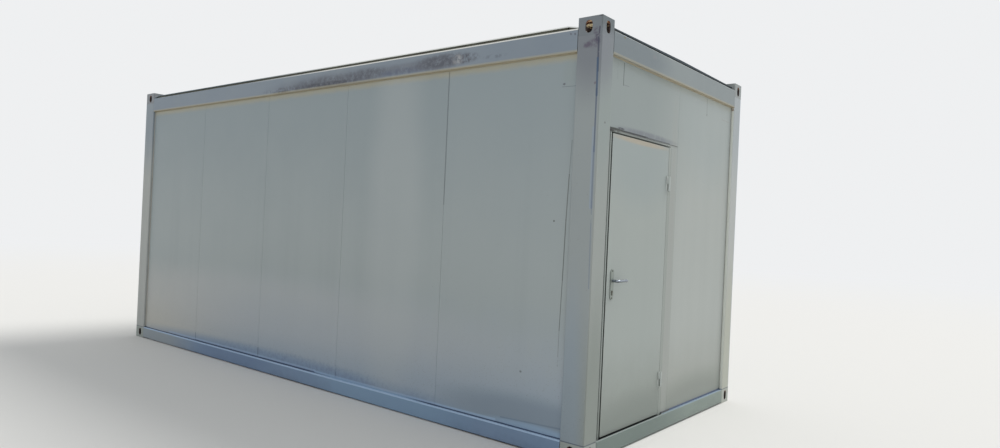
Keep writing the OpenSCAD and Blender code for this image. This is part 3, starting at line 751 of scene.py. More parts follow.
postLook = {
    "coat": (168, 172, 170),
    "chalk": (174, 177, 173),
    "cloudScale": 1.6,
    "wave": 0.0006,
    "wearColour": (140, 146, 152),
    "wearRadius": 0.005,
}
nearPostLook = {
    "coat": (152, 160, 162),
    "chalk": (159, 166, 166),
    "splashColour": (124, 132, 126),
    "splashTop": 1.1,
    "splashFull": 0.1,
    "splashAmount": 0.5,
}
farPostLook = {"coat": (177, 181, 180), "chalk": (183, 186, 183), "wearAmount": 0.1}
postSeams = {"low": (0.127, 0.124), "high": (2.6805, 2.6815), "ink": (74, 82, 96)}
violetInk = (98, 92, 108)
nearPostMarks = [
    *marksOn(sideFrame, [
        ("smudge", (2.9, 0.1), (0.135, 1.3), (142, 160, 180), 0.4, -0.3, 0.1, 2.0),
    ], depth=0.03),
    *marksOn(endFrame, [
        ("smudge", (-1.14, 1.4), (0.2, 3.0), (154, 159, 154), 0.7, -0.3, 0.1, 2.0),
        ("smudge", (-1.14, 0.1), (0.2, 1.3), (128, 136, 130), 0.62, -0.3, 0.1, 2.0),
        ("smudge", (-1.14, 2.45), (0.2, 0.9), (142, 153, 152), 0.7, -0.3, 0.1, 2.0),
        ("smudge", (-1.14, 2.74), (0.2, 0.42), (116, 124, 128), 0.5, -0.3, 0.1, 2.0),
    ], depth=0.01),
    *marksOn(sideFrame, [
        ("smudge", (2.95, 2.75), (0.3, 0.6, 0.3), (126, 131, 138), 0.9, -0.2, 0.3, 3.0),
        ("smudge", (2.925, 2.625), (0.045, 0.03), violetInk, 0.9, 0.4, 0.58, 34.0),
        ("smudge", (2.975, 2.628), (0.06, 0.04), violetInk, 0.75, 0.38, 0.6, 36.0),
        ("smudge", (3.0, 2.66), (0.03, 0.06), (84, 80, 98), 0.9, 0.34, 0.54, 34.0),
        ("scratch", (3.007, 2.66), (3.01, 2.45), 0.009, (70, 74, 92), 0.8, 0.38),
        ("scratch", (3.006, 2.53), (3.009, 2.3), 0.01, (74, 96, 122), 0.85, 0.38),
        ("scratch", (3.008, 2.34), (3.008, 1.95), 0.0075, (78, 92, 116), 0.75, 0.4),
        ("scratch", (2.996, 2.1), (2.997, 1.6), 0.009, (150, 166, 186), 0.5, 0.3),
        ("scratch", (3.007, 1.98), (3.008, 1.6), 0.009, (106, 120, 142), 0.6, 0.42),
        ("scratch", (3.008, 1.64), (3.014, 1.1), 0.006, (116, 128, 146), 0.45, 0.45),
        ("spot", (2.994, 2.379), (0.012, 0.012), (110, 96, 110), 0.6, 0.4, 60.0),
    ], depth=0.03),
    *marksOn(endFrame, [
        ("spot", (-1.136, 2.14), (0.012, 0.009), (104, 106, 104), 0.7, 0.3, 60.0),
    ]),
]
farPostMarks = [
    *marksOn(endFrame, [
        ("smudge", (1.14, 0.4), (0.2, 1.1), (178, 181, 168), 0.85, -0.3, 0.1, 2.0),
        ("smudge", (1.14, 2.6), (0.2, 0.9), (162, 171, 176), 0.7, -0.3, 0.1, 2.0),
    ]),
    # The post's inner side face, which stands in shade, is painted light
    ("smudge", (3.0165, 1.064, 1.4), (0.03, 0.004, 4.0), (226, 230, 222), 0.9, -0.3, 0.1, 2.0),
    # A light blue line down the outer bend is a painted sky reflection
    *marksOn(endFrame, [
        ("scratch", (1.215, 0.12), (1.215, 2.68), 0.011, (214, 226, 240), 0.9, 0.05),
    ]),
    ("spot", (3.015, 1.066, 2.588), (0.02, 0.012, 0.009), (142, 112, 86), 0.8, 0.3, 60.0),
    ("spot", (3.015, 1.066, 2.566), (0.02, 0.012, 0.012), (126, 100, 78), 0.8, 0.4, 60.0),
]
rearPostMarks = marksOn(sideFrame, [
    ("smudge", (-2.94, 2.72), (0.3, 1.0), (136, 148, 158), 0.85, -0.3, 0.1, 2.0),
], depth=0.06)


# Thin dark seams where a post is welded between its castings
def makePostPaint(name, look):
    material, tree, shader = makePaint(name, look)
    height = objectAxis(tree, 2)
    low = fade(tree, height, *postSeams["low"])
    high = scaled(tree, fade(tree, height, *postSeams["high"]), 0.15)
    overpaint(tree, shader, calc(tree, "MAXIMUM", low, high), postSeams["ink"], 0.7)
    return material


def dressPosts():
    dressInCoats(makePostPaint, postLook, [
        ("postPaint", {}, rearPostMarks, ["corner_post_rear_left", "corner_post_rear_right"]),
        ("postPaintNearDoorEnd", nearPostLook, nearPostMarks, ["corner_post_front_left"]),
        ("postPaintFar", farPostLook, farPostMarks, ["corner_post_front_right"]),
    ])


castingLook = {
    "coat": (136, 141, 147),
    "chalk": (144, 148, 152),
    "cloudScale": 6.0,
    "rough": 0.6,
    "peel": 0.0005,
    "wave": 0.0006,
    "waveScale": (14.0, 14.0, 14.0),
    "wearColour": (112, 112, 118),
    "wearAmount": 0.4,
    "wearRadius": 0.005,
}
nearTopCoat = {"coat": (119, 126, 133), "chalk": (128, 134, 139)}
lowCoat = {"coat": (150, 158, 154), "chalk": (158, 165, 160)}
farTopCoat = {"coat": (150, 156, 157), "chalk": (156, 161, 160), "wearAmount": 0.2}
farLowCoat = {"coat": (170, 175, 168), "chalk": (176, 180, 172)}
pocketLook = {
    "box": {"Centre": (2.94475, 1.14625, 1.4), "Half": (0.08225, 0.07075, 1.3995), "Soft": 0.01},
    "rust": {"Scale": 26.0, "Dark": (132, 86, 66), "Bright": (190, 132, 98)},
    "dark": (62, 52, 50),
    "deep": (98, 82, 78),
    "slotSunlight": (232, 216, 178),
    "slotSunlightLevels": (2.762, 2.77),
}
nearCastingMarks = [
    *marksOn(endFrame, [
        ("smudge", (-1.14, 2.785), (0.25, 0.1), (104, 112, 116), 0.85, -0.3, 0.1, 2.0),
    ], depth=0.01),
    *marksOn(sideFrame, [
        ("smudge", (2.985, 2.705), (0.032, 0.03), violetInk, 0.9, 0.38, 0.55, 34.0),
        ("scratch", (3.012, 2.725), (3.009, 2.682), 0.007, (78, 76, 92), 0.85, 0.3),
        ("spot", (3.02, 2.795), (0.02, 0.006), (60, 62, 70), 0.7, 0.4, 40.0),
    ], depth=0.03),
]


# Painted outside, bare and rusty in the pocket and in the holes; the slot faces of the top plate are cream
# as painted sunlight, and the rust on faces that look down is brightened as painted sunlight from the top
# hole
def makeCastingFinish(name, look):
    material, tree, shader = makePaint(name, look)
    inside = effect(tree, "quarterBox", **pocketLook["box"])
    rust = effect(tree, "rustBloom", "Colour", **pocketLook["rust"])
    edge = fade(tree, objectAxis(tree, 2), *pocketLook["slotSunlightLevels"])
    deep = cover(tree, cloud(tree, objectPlace(tree), 60.0, 5.0), pocketLook["dark"], pocketLook["deep"])
    pocket = layered(tree, deep, [(edge, pocketLook["slotSunlight"]), (effect(tree, "facing", "Down"), rust)])
    overpaint(tree, shader, inside, pocket)
    return material


def dressCastings():
    coats = [
        ("castingPaint", {}, [], ["top_rear_left", "top_rear_right"]),
        ("castingPaintLow", lowCoat, [], ["bottom_front_left", "bottom_rear_left", "bottom_rear_right"]),
        ("castingPaintFarLow", farLowCoat, [], ["bottom_front_right"]),
        ("castingPaintFarTop", farTopCoat, [], ["top_front_right"]),
        ("castingPaintNearDoorEnd", nearTopCoat, nearCastingMarks, ["top_front_left"]),
    ]
    dressInCoats(makeCastingFinish, castingLook, [
        (name, changes, marks, ["corner_casting_" + corner for corner in corners])
        for name, changes, marks, corners in coats
    ])


doorLook = {
    "coat": (159, 167, 164),
    "chalk": (165, 172, 168),
    "cloudScale": 1.2,
    "rough": 0.45,
    "wave": 0.001,
    "grimeAndShadeAmount": 0.2,
    "wearColour": (128, 130, 126),
    "runAmount": 0.2,
    "splashTop": 0.8,
    "splashFull": 0.1,
    "splashColour": (132, 138, 131),
    "splashAmount": 0.68,
}
# The hinges' coat is a little lighter than the door's, painted light against their own shading
hingeLook = {
    "coat": (166, 173, 170),
    "chalk": (172, 178, 175),
    "wearAmount": 0.1,
    "grimeAndShadeAmount": 0.0,
}
doorGaps = {
    "leafEdge": {"centre": (2.984, -0.983, 1.1), "half": (0.0192, 0.0012, 1.02)},
    "leafTop": {"centre": (2.984, -0.565, 2.1), "half": (0.0215, 0.44, 0.005)},
    "frameHead": {"centre": (2.984, -0.565, 2.103), "half": (0.0215, 0.44, 0.0045)},
    "lockRebate": {"centre": (2.985, -0.995, 1.1), "half": (0.0185, 0.012, 1.02)},
    "hinges": {"centre": (2.983, -0.143, 1.11), "half": (0.0205, 0.04, 1.1)},
}
gapShadeInk = (74, 80, 74)
# Painted light over the shadow in the hinge gap and on the shaded side of the hinge barrels
hingeGapLightInk = (194, 200, 196)
hingeShadedSide = {"centre": (3.018, -0.1525, 1.1), "half": (0.01, 0.006, 1.1)}
hingeShadedSideLight = (216, 222, 219)
hingeShadowLightInk = (214, 220, 216)
doorFootMark = ("smudge", (-0.5, 0.12), (1.0, 0.3, 0.02), (130, 138, 133), 0.75, -0.3, 0.1, 1.0)
# Light smudges beside the hinges are painted light over their shadow on the door
hingeShadowLightMarks = marksOn(endWall, [
    ("smudge", (-0.149, 1.806), (0.028, 0.045), hingeShadowLightInk, 0.85, -0.3, 0.1, 2.0),
    ("smudge", (-0.149, 0.361), (0.028, 0.045), hingeShadowLightInk, 0.75, -0.3, 0.1, 2.0),
], depth=0.03)
frameMarks = marksOn(endWall, [
    doorFootMark,
    ("smudge", (-0.12, 1.1), (0.06, 1.7, 0.02), (150, 156, 151), 0.75, -0.3, 0.1, 1.0),
    ("smudge", (-0.6, 2.113), (0.52, 0.016, 0.02), (130, 136, 134), 0.85, -0.2, 0.3, 9.0),
    # A dark line along the jamb beside the post is painted shade
    ("scratch", (-1.014, 0.13), (-1.014, 2.119), 0.01, (100, 108, 104), 0.8, 0.1),
    ("spot", (-1.015, 2.112), (0.05, 0.012), (52, 54, 50), 0.9, 0.5, 40.0),
    ("smudge", (-0.95, 2.112), (0.09, 0.01), (60, 62, 58), 0.8, 0.35, 0.55, 40.0),
])
leafMarks = marksOn(endWall, [
    doorFootMark,
    ("smudge", (-0.57, 2.0), (0.7, 0.5), (150, 161, 162), 0.6, -0.3, 0.1, 1.0),
    # A warm band along the leaf's top is a painted reflection
    ("smudge", (-0.57, 2.082), (0.55, 0.028), (174, 166, 150), 0.9, -0.2, 0.3, 9.0),
], depth=0.02)


def makeDoorPaint(name, marks, gaps, share):
    material, tree, shader = makePaint(name, {**doorLook, "marks": marks + hingeShadowLightMarks})
    # Painted shade in the gaps at the leaf's top and lock edge, the frame's head and the lock rebate
    dark = chain(tree, "MAXIMUM", *[boxMask(tree, **doorGaps[gap]) for gap in gaps])
    overpaint(tree, shader, dark, gapShadeInk, share)
    # Painted light over the shadow in the hinge gap
    overpaint(tree, shader, boxMask(tree, **doorGaps["hinges"]), hingeGapLightInk)
    return material


def dressDoor():
    dress(makeDoorPaint("doorFramePaint", frameMarks, ("frameHead", "lockRebate"), 0.95), "door_frame")
    dress(makeDoorPaint("doorLeafPaint", leafMarks, ("leafTop", "leafEdge"), 0.9), "door_leaf")
    hinge, tree, shader = makePaint("hingePaint", {**doorLook, **hingeLook})
    overpaint(tree, shader, boxMask(tree, **hingeShadedSide), hingeShadedSideLight, 0.8)
    dress(hinge, "hinge_frame_halves", "hinge_leaf_halves")


# Bare metals, boards and rubber
zincLook = {
    "galvanisedSteel": {
        "light": (168, 172, 170), "dark": (138, 142, 142), "metal": 0.75, "rough": 0.42, "cells": 45.0,
    },
    "weatheredZinc": {
        "light": (120, 122, 108), "dark": (92, 95, 84), "metal": 0.35, "rough": 0.6, "cells": 28.0,
    },
}
zincDirt = {"dirt": (96, 90, 76), "grimeAndShade": (64, 60, 52), "moss": (80, 84, 58)}
hemLook = {
    "side": (240, 242, 240),
    "dull": (104, 118, 128),
    "end": (40, 56, 66),
    "shineAlong": (-1.5, 1.2),
    "sideFrom": 1.2,
    "endFrom": 2.9985,
}


def makeZinc(name):
    look = zincLook[name]
    material, tree, shader = newFinish(name, {"Specular IOR Level": 0.5})
    place = objectPlace(tree)
    tone = effect(tree, "zincCells", "Tone", Scale=look["cells"])
    crystals = effect(tree, "zincCells", "Height", Scale=look["cells"])
    dirt = fade(tree, cloud(tree, place, 2.6, 6.0, 0.65), 0.42, 0.7)
    grimeAndShade = effect(tree, "grimeAndShade", Reach=0.05, Amount=0.7)
    coats = [(tone, look["light"]), (dirt, zincDirt["dirt"], 0.6), (grimeAndShade, zincDirt["grimeAndShade"])]
    bare = calc(tree, "SUBTRACT", look["metal"], scaled(tree, dirt, look["metal"] * 0.8))
    # The long sides' hem gets a painted highlight, white near the door end and dull blue-grey towards the
    # far end; the ends' hem is painted dark as shade
    if name == "weatheredZinc":
        moss = fade(tree, cloud(tree, place, 7.0, 6.0, 0.7), 0.55, 0.75)
        reach = split(tree, calcVector(tree, "ABSOLUTE", place))
        end = calc(tree, "GREATER_THAN", reach[0], hemLook["endFrom"])
        side = calc(tree, "GREATER_THAN", reach[1], hemLook["sideFrom"])
        shine = fade(tree, objectAxis(tree, 0), *hemLook["shineAlong"])
        edge = cover(tree, shine, hemLook["dull"], hemLook["side"])
        coats += [(moss, zincDirt["moss"], 0.5), (end, hemLook["end"]), (side, edge)]
        bare = scaled(tree, bare, calc(tree, "SUBTRACT", 1.0, calc(tree, "MAXIMUM", end, side)))
    feed(tree, shader.inputs["Metallic"], bare)
    colour = layered(tree, look["dark"], coats)
    bumps = [(crystals, 0.0002), (cloud(tree, place, 30.0, 5.0), 0.0006)]
    setSurface(tree, shader, colour, (tone, 0.15, look["rough"]), bumps)
    return material


satinLook = {
    "sillSteel": {
        "colour": (118, 124, 128), "worn": (84, 88, 88), "low": (60, 62, 60),
        "rough": 0.38, "metal": 1.0, "stretch": (300.0, 4.0, 4.0),
    },
    "lockSteel": {
        "colour": (148, 157, 151), "worn": (118, 124, 116), "low": (110, 110, 104),
        "rough": 0.4, "metal": 0.35, "stretch": (40.0, 300.0, 8.0),
    },
    "keyBrass": {
        "colour": (86, 84, 70), "worn": (50, 48, 40), "low": (36, 36, 32),
        "rough": 0.4, "metal": 0.6, "stretch": (200.0, 200.0, 200.0),
    },
    "leverChrome": {
        "colour": (150, 158, 168), "worn": (118, 124, 132), "low": (44, 50, 56),
        "rough": 0.22, "metal": 0.9, "stretch": (260.0, 12.0, 260.0),
    },
}
satinWear = {"grimeAndShade": (52, 48, 42), "edge": (206, 208, 206)}


def makeSatinMetal(name):
    look = satinLook[name]
    material, tree, shader = newFinish(name, {"Metallic": look["metal"]})
    place = objectPlace(tree)
    grain = cloud(tree, stretched(tree, place, look["stretch"]), 1.0, 3.0, 0.6)
    grimeAndShade = effect(tree, "grimeAndShade", Reach=0.012, Amount=0.8, Scale=40.0)
    wear = effect(tree, "edgeWear", Radius=0.0015, Amount=0.4, Scale=120.0)
    # Faces that look down get the darker low colour, painted shade
    under = effect(tree, "facing", "Down")
    colour = layered(tree, look["colour"], [
        (grain, look["worn"], 0.35), (grimeAndShade, satinWear["grimeAndShade"]),
        (wear, satinWear["edge"]), (under, look["low"]),
    ])
    smears = calc(tree, "MULTIPLY_ADD", cloud(tree, place, 24.0, 4.0), 0.2, look["rough"] - 0.08)
    setSurface(tree, shader, colour, (grimeAndShade, 0.35, smears), [(grain, 0.00004)])
    return material


chipboardLook = {
    "dark": (150, 116, 74),
    "light": (196, 160, 110),
    "damp": (110, 80, 48),
    "flakeScale": 130.0,
    "flakeStretch": (1.0, 0.45, 1.0),
}


def makeChipboard():
    look = chipboardLook
    material, tree, shader = newFinish("chipboard", {})
    place = objectPlace(tree)
    distance, shades = cells(tree, stretched(tree, place, look["flakeStretch"]), look["flakeScale"])
    damp = fade(tree, cloud(tree, place, 60.0, 4.0), 0.58, 0.72)
    colour = layered(tree, look["dark"], [(shades[0], look["light"]), (damp, look["damp"], 0.5)])
    setSurface(tree, shader, colour, (shades[0], 0.1, 0.75), [(distance, 0.0004)])
    return material


vinylLook = {
    "base": (134, 136, 136),
    "pale": (146, 147, 145),
    "paleSpeck": (170, 170, 166),
    "darkSpeck": (92, 94, 96),
    "dust": (152, 142, 124),
    "grimeAndShade": (84, 78, 68),
}


def makeVinyl():
    look = vinylLook
    material, tree, shader = newFinish("speckledVinyl", {"IOR": 1.5})
    place = objectPlace(tree)
    small = effect(tree, "specks", Scale=240.0, Share=0.35, Size=0.4)
    large = effect(tree, "specks", Scale=120.0, Share=0.2, Size=0.3)
    dust = fade(tree, cloud(tree, place, 5.0, 6.0, 0.65), 0.45, 0.75)
    colour = layered(tree, look["base"], [
        (cloud(tree, place, 2.0, 4.0), look["pale"]), (small, look["paleSpeck"]), (large, look["darkSpeck"]),
        (dust, look["dust"], 0.45), (effect(tree, "grimeAndShade", Reach=0.15, Amount=0.7), look["grimeAndShade"]),
    ])
    setSurface(tree, shader, colour, (dust, 0.35, 0.4), [(cloud(tree, place, 400.0, 2.0), 0.00015)])
    return material


ceilingLook = {
    "board": (214, 214, 206),
    "pale": (226, 226, 220),
    "joint": (120, 118, 110),
    "grimeAndShade": (160, 156, 144),
    "boardWidth": 0.575,
    "jointHalf": (0.003, 0.0015),
}


def makeCeilingBoard():
    look = ceilingLook
    material, tree, shader = newFinish("coatedCeiling", {"IOR": 1.5})
    fine = cloud(tree, stretched(tree, objectPlace(tree), (60.0, 4.0, 60.0)), 1.0, 4.0)
    beat = calc(tree, "PINGPONG", objectAxis(tree, 0), look["boardWidth"])
    joint = fade(tree, beat, *look["jointHalf"])
    grimeAndShade = effect(tree, "grimeAndShade", Reach=0.2, Amount=0.4)
    colour = layered(tree, look["board"], [
        (fine, look["pale"]), (joint, look["joint"], 0.7), (grimeAndShade, look["grimeAndShade"]),
    ])
    setSurface(tree, shader, colour, (fine, 0.1, 0.5), [(joint, -0.001), (fine, 0.0001)])
    return material


rubberGrimeAndShade = (52, 46, 38)


def makeRubber(name, colour, dusty):
    material, tree, shader = newFinish(name, {"IOR": 1.5})
    place = objectPlace(tree)
    dust = fade(tree, cloud(tree, place, 45.0, 5.0, 0.65), 0.4, 0.7)
    grimeAndShade = effect(tree, "grimeAndShade", Reach=0.02, Amount=0.5, Scale=30.0)
    shade = layered(tree, colour, [(dust, dusty, 0.6), (grimeAndShade, rubberGrimeAndShade)])
    setSurface(tree, shader, shade, (dust, 0.25, 0.6), [(cloud(tree, place, 260.0, 3.0), 0.0002)])
    return material, tree, shader


sealLook = {"colour": (34, 34, 34), "dusty": (96, 90, 80), "hingeGapLight": (150, 156, 152)}


def dressRest():
    dress(makeZinc("galvanisedSteel"), "underfloor_sheet", "floor_joists", "roof_bearers")
    dress(makeZinc("weatheredZinc"), "roof_sheet", "roof_corner_plates")
    dress(makeSatinMetal("sillSteel"), "door_sill")
    dress(makeSatinMetal("lockSteel"), "lock_plates")
    dress(makeSatinMetal("keyBrass"), "key_cylinder")
    dress(makeSatinMetal("leverChrome"), "lever_handle")
    dress(makeChipboard(), "floor_board")
    dress(makeVinyl(), "floor_covering")
    dress(makeCeilingBoard(), "ceiling_board")
    seal, tree, shader = makeRubber("sealRubber", sealLook["colour"], sealLook["dusty"])
    # The seal is painted lighter on the hinge side, as painted light over the shadow in the gap
    overpaint(tree, shader, boxMask(tree, **doorGaps["hinges"]), sealLook["hingeGapLight"])
    dress(seal, "door_seal")


# Small pieces, which ride on a body
def finishPiece(name, mesh, material, body, smooth=True):
    bmesh.ops.recalc_face_normals(mesh, faces=mesh.faces)
    piece = addMesh(name, mesh, material)
    if smooth:
        piece.data.shade_smooth()
    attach(piece, body)


# Faces between two rings of the same number of points
def bridge(mesh, first, second):
    for index in range(len(first)):
        after = (index + 1) % len(first)
        mesh.faces.new((first[index], first[after], second[after], second[index]))


# Rings of points joined into a closed strand
def joinRings(mesh, rings):
    made = [[mesh.verts.new(point) for point in ring] for ring in rings]
    for first, second in zip(made, made[1:]):
        bridge(mesh, first, second)
    mesh.faces.new(list(reversed(made[0])))
    mesh.faces.new(made[-1])


sealantLook = {
    "radius": 0.007,
    "sideRadius": 0.0036,
    "thin": 0.0026,
    "uneven": 0.2,
    "step": 0.045,
    "sag": 0.35,
    "colour": (150, 152, 146),
    "dusty": (134, 132, 122),
}
sealantBands = {
    "farEnd": (-2.8, -2.84),
    "farColour": (190, 182, 168),
    "high": (2.57, 2.58),
    "highColour": (162, 152, 128),
    "low": (0.135, 0.13),
    "lowJointShade": (58, 76, 104),
    "lowSkyLight": (138, 166, 194),
    "paleAlong": ((0.15, 0.6), (1.7, 1.35)),
    "head": (66, 68, 68),
    "headBox": {"centre": (3.0, -0.5, 1.1), "half": (0.02, 0.55, 1.1)},
}


# Brown under the top rails, grey at the sides, dark at the door's head; along the bottom the beads are
# painted dark as the joint's shade, and over part of the long sides pale blue as painted sky light
def makeSealantFinish():
    material, tree, shader = makeRubber("jointSealant", sealantLook["colour"], sealantLook["dusty"])
    bands = sealantBands
    parts = split(tree, objectPlace(tree))
    pale = scaled(tree, *[fade(tree, parts[0], *ends) for ends in bands["paleAlong"]])
    low = cover(tree, pale, bands["lowJointShade"], bands["lowSkyLight"])
    overpaint(tree, shader, fade(tree, parts[0], *bands["farEnd"]), bands["farColour"], 0.8)
    overpaint(tree, shader, fade(tree, parts[2], *bands["high"]), bands["highColour"], 0.9)
    overpaint(tree, shader, fade(tree, parts[2], *bands["low"]), low)
    overpaint(tree, shader, boxMask(tree, **bands["headBox"]), bands["head"])
    return material


# Bead of sealant in an inner corner; sideA and sideB point away from the corner along its two faces
def addBead(mesh, start, end, sideA, sideB, radius):
    first, last, alongA, alongB = [Vector(value) for value in (start, end, sideA, sideB)]
    count = max(2, int((last - first).length / sealantLook["step"]))
    rings = []
    for index in range(count + 1):
        middle = first.lerp(last, index / count)
        size = radius * (1 + noise.noise(middle * 7.0) * sealantLook["uneven"])
        ring = [middle]
        for angle in (0, 30, 60, 90):
            turn = math.radians(angle)
            bow = 1 - sealantLook["sag"] * math.sin(2 * turn)
            ring.append(middle + (alongA * math.cos(turn) + alongB * math.sin(turn)) * size * bow)
        rings.append(ring)
    joinRings(mesh, rings)


# Field of the walls, between the rails and the posts; the jamb is the visible edge at the lock side
wallField = {
    "low": span("bottom_rail_left")[2][1],
    "high": span("top_rail_left")[2][0],
    "sideEnd": span("corner_post_front_left")[0][0],
    "endSide": -span("corner_post_front_left")[1][1],
    "doorSide": span("door_frame")[1][1],
    "head": span("door_frame")[2][1],
    "jamb": -1.023,
}


def makeSealant():
    material = makeSealantFinish()
    low, high, head, jamb = [wallField[name] for name in ("low", "high", "head", "jamb")]
    full, side, thin = [sealantLook[name] for name in ("radius", "sideRadius", "thin")]
    # Each wall has its face, the end of its field and the side of it where the bead is thinner
    walls = [
        ("left", sideWall, wallField["sideEnd"], -1),
        ("right", (1, -sideWall[1]), wallField["sideEnd"], -1),
        ("front", endWall, wallField["endSide"], 1),
        ("rear", (0, -endWall[1]), wallField["endSide"], 1),
    ]
    for name, (axis, level), end, thinSide in walls:
        hasDoor = name == "front"
        lowStart = wallField["doorSide"] if hasDoor else -end
        nearLow = head if hasDoor else low  # the door's frame fills the corner up to its head
        beads = [
            ((-end, high), (end, high), (0, -1), full),
            ((lowStart, low), (end, low), (0, 1), full),
            ((thinSide * end, low), (thinSide * end, high), (-thinSide, 0), side),
            ((-thinSide * end, nearLow), (-thinSide * end, high), (thinSide, 0), full),
        ]
        if hasDoor:
            beads.append(((-end, head), (0, head), (0, 1), thin))
            beads.append(((jamb, low), (jamb, head), (1, 0), thin))
        out = placeOn(axis, (0, 0), math.copysign(1, level))
        mesh = bmesh.new()
        for start, stop, away, radius in beads:
            ends = [placeOn(axis, flat, level) for flat in (start, stop)]
            addBead(mesh, *ends, out, placeOn(axis, away, 0), radius)
        finishPiece("sealant_" + name, mesh, material, "cabin")
    print("sealant beads made")


jointFill = {
    "half": 0.0034,
    "flat": 0.94,
    "edge": 0.0005,
    "depth": 0.002,
    "sway": 0.0002,
    "low": 0.128,
    "high": 2.58,
    "step": 0.1,
}


# The joint in the middle of the door end is filled almost flush and painted over
def makeJointFill():
    fill = jointFill
    rise = fill["high"] - fill["low"]
    count = int(rise / fill["step"])
    depth, edge, flat = -fill["depth"], -fill["edge"], fill["flat"]
    rings = []
    for index in range(count + 1):
        z = fill["low"] + rise * index / count
        sway = fill["sway"] * noise.noise(Vector((0, 0, z * 9.0)))
        plan = [(depth, -1.0), (edge, -flat), (sway, 0.0), (edge, flat), (depth, 1.0)]
        rings.append([Vector((endWall[1] + x, share * fill["half"], z)) for x, share in plan])
    mesh = bmesh.new()
    joinRings(mesh, rings)
    finishPiece("joint_fill_front", mesh, bpy.data.materials["wallPaintDoorEnd"], "cabin")


screwLook = {
    "proud": 0.0016,
    "dome": [(1.0, 0.0), (1.0, 0.35), (0.86, 0.7), (0.62, 0.92)],
    "armLength": 0.5,
    "armHalf": 0.1309524,
    "crossDepth": 0.0009,
    "sides": 20,
}


# Domed screw head with a cross recess, its axis along X; out is 1 or -1
def addScrew(mesh, place, out, radius):
    look = screwLook
    base = Vector(place)
    turns = [2 * math.pi * index / look["sides"] for index in range(look["sides"])]

    def ringAt(rise, plan):
        return [mesh.verts.new(base + Vector((out * rise, y * radius, z * radius))) for y, z in plan]

    rings = [
        ringAt(rise * look["proud"], [(math.cos(turn) * share, math.sin(turn) * share) for turn in turns])
        for share, rise in look["dome"]
    ]
    for first, second in zip(rings, rings[1:]):
        bridge(mesh, first, second)
    arm, half = look["armLength"], look["armHalf"]
    quarter = [(half, half), (half, arm), (-half, arm)]
    cross = []
    for quarterTurn in range(4):
        cross += quarter
        quarter = [(-z, y) for y, z in quarter]
    top = ringAt(look["proud"], cross)
    bottom = ringAt(look["proud"] - look["crossDepth"], cross)
    edges = []
    for ring in (rings[-1], top):
        for first, second in zip(ring, ring[1:] + ring[:1]):
            edges.append(mesh.edges.get((first, second)) or mesh.edges.new((first, second)))
    bmesh.ops.triangle_fill(mesh, use_beauty=True, edges=edges)
    bridge(mesh, top, bottom)
    mesh.faces.new(bottom)


lockScrews = {
    "across": -0.917,
    "heights": (1.2015, 1.0235),
    "radius": 0.0055,
    "ink": (66, 66, 60),
    "dusty": (96, 92, 82),
}


def makeLockScrews():
    look = lockScrews
    dark = makeRubber("lockScrewSteel", look["ink"], look["dusty"])[0]
    inner, outer = span("lock_plates")[0]
    mesh = bmesh.new()
    for z in look["heights"]:
        addScrew(mesh, (outer, look["across"], z), 1, look["radius"])
        addScrew(mesh, (inner, look["across"], z), -1, look["radius"])
    finishPiece("lock_plate_screws", mesh, dark, "door", smooth=False)


hingeScrews = {
    "pins": (0.385, 1.83),
    "spread": 0.016,
    "proud": 0.004,
    "radius": 0.0036,
    "halves": [("frame", "cabin", -0.122, -0.0268), ("leaf", "door", -0.164, 0.0265)],
}


# Each half has its body, its place across and how far its screws' middle is from the pin's
def makeHingeScrews():
    look = hingeScrews
    for name, body, across, middle in look["halves"]:
        mesh = bmesh.new()
        for pin in look["pins"]:
            for spread in (-look["spread"], look["spread"]):
                place = (endWall[1] + look["proud"], across, pin + middle + spread)
                addScrew(mesh, place, 1, look["radius"])
        material = bpy.data.materials["hingePaint"]
        finishPiece("hinge_screws_" + name, mesh, material, body, smooth=False)
    print("screws made")


# Floor, world and lamp
stageLook = {
    "floor": (226, 225, 222),
    "backdrop": (0.86, 0.87, 0.88, 1.0),
    "fade": (7.0, 26.0),
    "size": 90.0,
    "drop": 0.001,
}


# 1 for the rays that show the backdrop: to the camera, off gloss and through glass
def backdropRays(tree):
    seen = put(tree, "LightPath").outputs
    rays = [seen["Is %s Ray" % kind] for kind in ("Camera", "Glossy", "Transmission")]
    return chain(tree, "MAXIMUM", *rays)


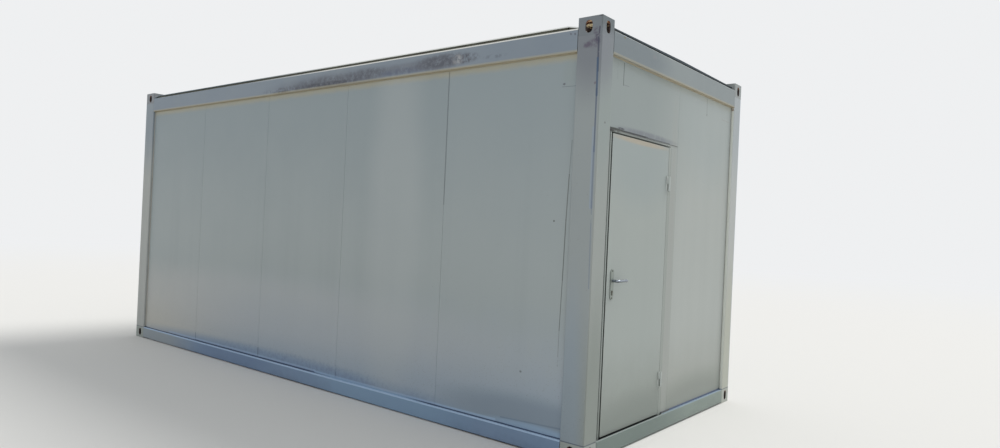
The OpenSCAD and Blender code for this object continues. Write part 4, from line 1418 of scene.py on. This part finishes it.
def makeFloor():
    constants = {"Base Color": stageLook["floor"], "Roughness": 0.9, "Specular IOR Level": 0.1}
    material, tree, shader = newFinish("studioFloor", constants)
    glow = put(tree, "Emission", {"Color": stageLook["backdrop"], "Strength": 1.0})
    far = fade(tree, calcVector(tree, "LENGTH", objectPlace(tree)), *stageLook["fade"])
    shown = scaled(tree, far, backdropRays(tree))
    mixed = put(tree, "MixShader", {0: shown, 1: shader.outputs[0], 2: glow.outputs[0]})
    feed(tree, tree.nodes["Material Output"].inputs["Surface"], mixed.outputs[0])
    mesh = bmesh.new()
    bmesh.ops.create_grid(mesh, x_segments=8, y_segments=8, size=stageLook["size"])
    floor = addMesh("studioFloor", mesh, material)
    floor.location.z = -stageLook["drop"]


lightLook = {
    "ambient": (0.60, 0.615, 0.63, 1.0),
    "sunFrom": (0.217, 0.605, 0.766),
    "sunStrength": 2.17,
    "sunAngleDegrees": 30.0,
    "sunColour": (1.0, 0.985, 0.96),
}


def makeLight():
    world = bpy.data.worlds.new("studio")
    world.use_nodes = True
    tree = world.node_tree
    tree.nodes.clear()
    soft = put(tree, "Background", {"Color": lightLook["ambient"], "Strength": 1.0})
    pale = put(tree, "Background", {"Color": stageLook["backdrop"], "Strength": 1.0})
    mixed = put(tree, "MixShader", {0: backdropRays(tree), 1: soft.outputs[0], 2: pale.outputs[0]})
    put(tree, "OutputWorld", {"Surface": mixed.outputs[0]})
    bpy.context.scene.world = world
    data = bpy.data.lights.new("softSun", "SUN")
    data.angle = math.radians(lightLook["sunAngleDegrees"])
    data.energy = lightLook["sunStrength"]
    data.color = lightLook["sunColour"]
    lamp = addObject("softSun", data)
    lamp.rotation_euler = (-Vector(lightLook["sunFrom"])).to_track_quat("-Z", "Y").to_euler()


makeCamera()
makeEffects()
dressWalls()
dressTopRails()
dressBottomRails()
dressPosts()
dressCastings()
dressDoor()
dressRest()
print("finishes made:", len(bpy.data.materials))
makeSealant()
makeJointFill()
makeLockScrews()
makeHingeScrews()
makeFloor()
makeLight()
bpy.context.scene.view_settings.view_transform = "Standard"
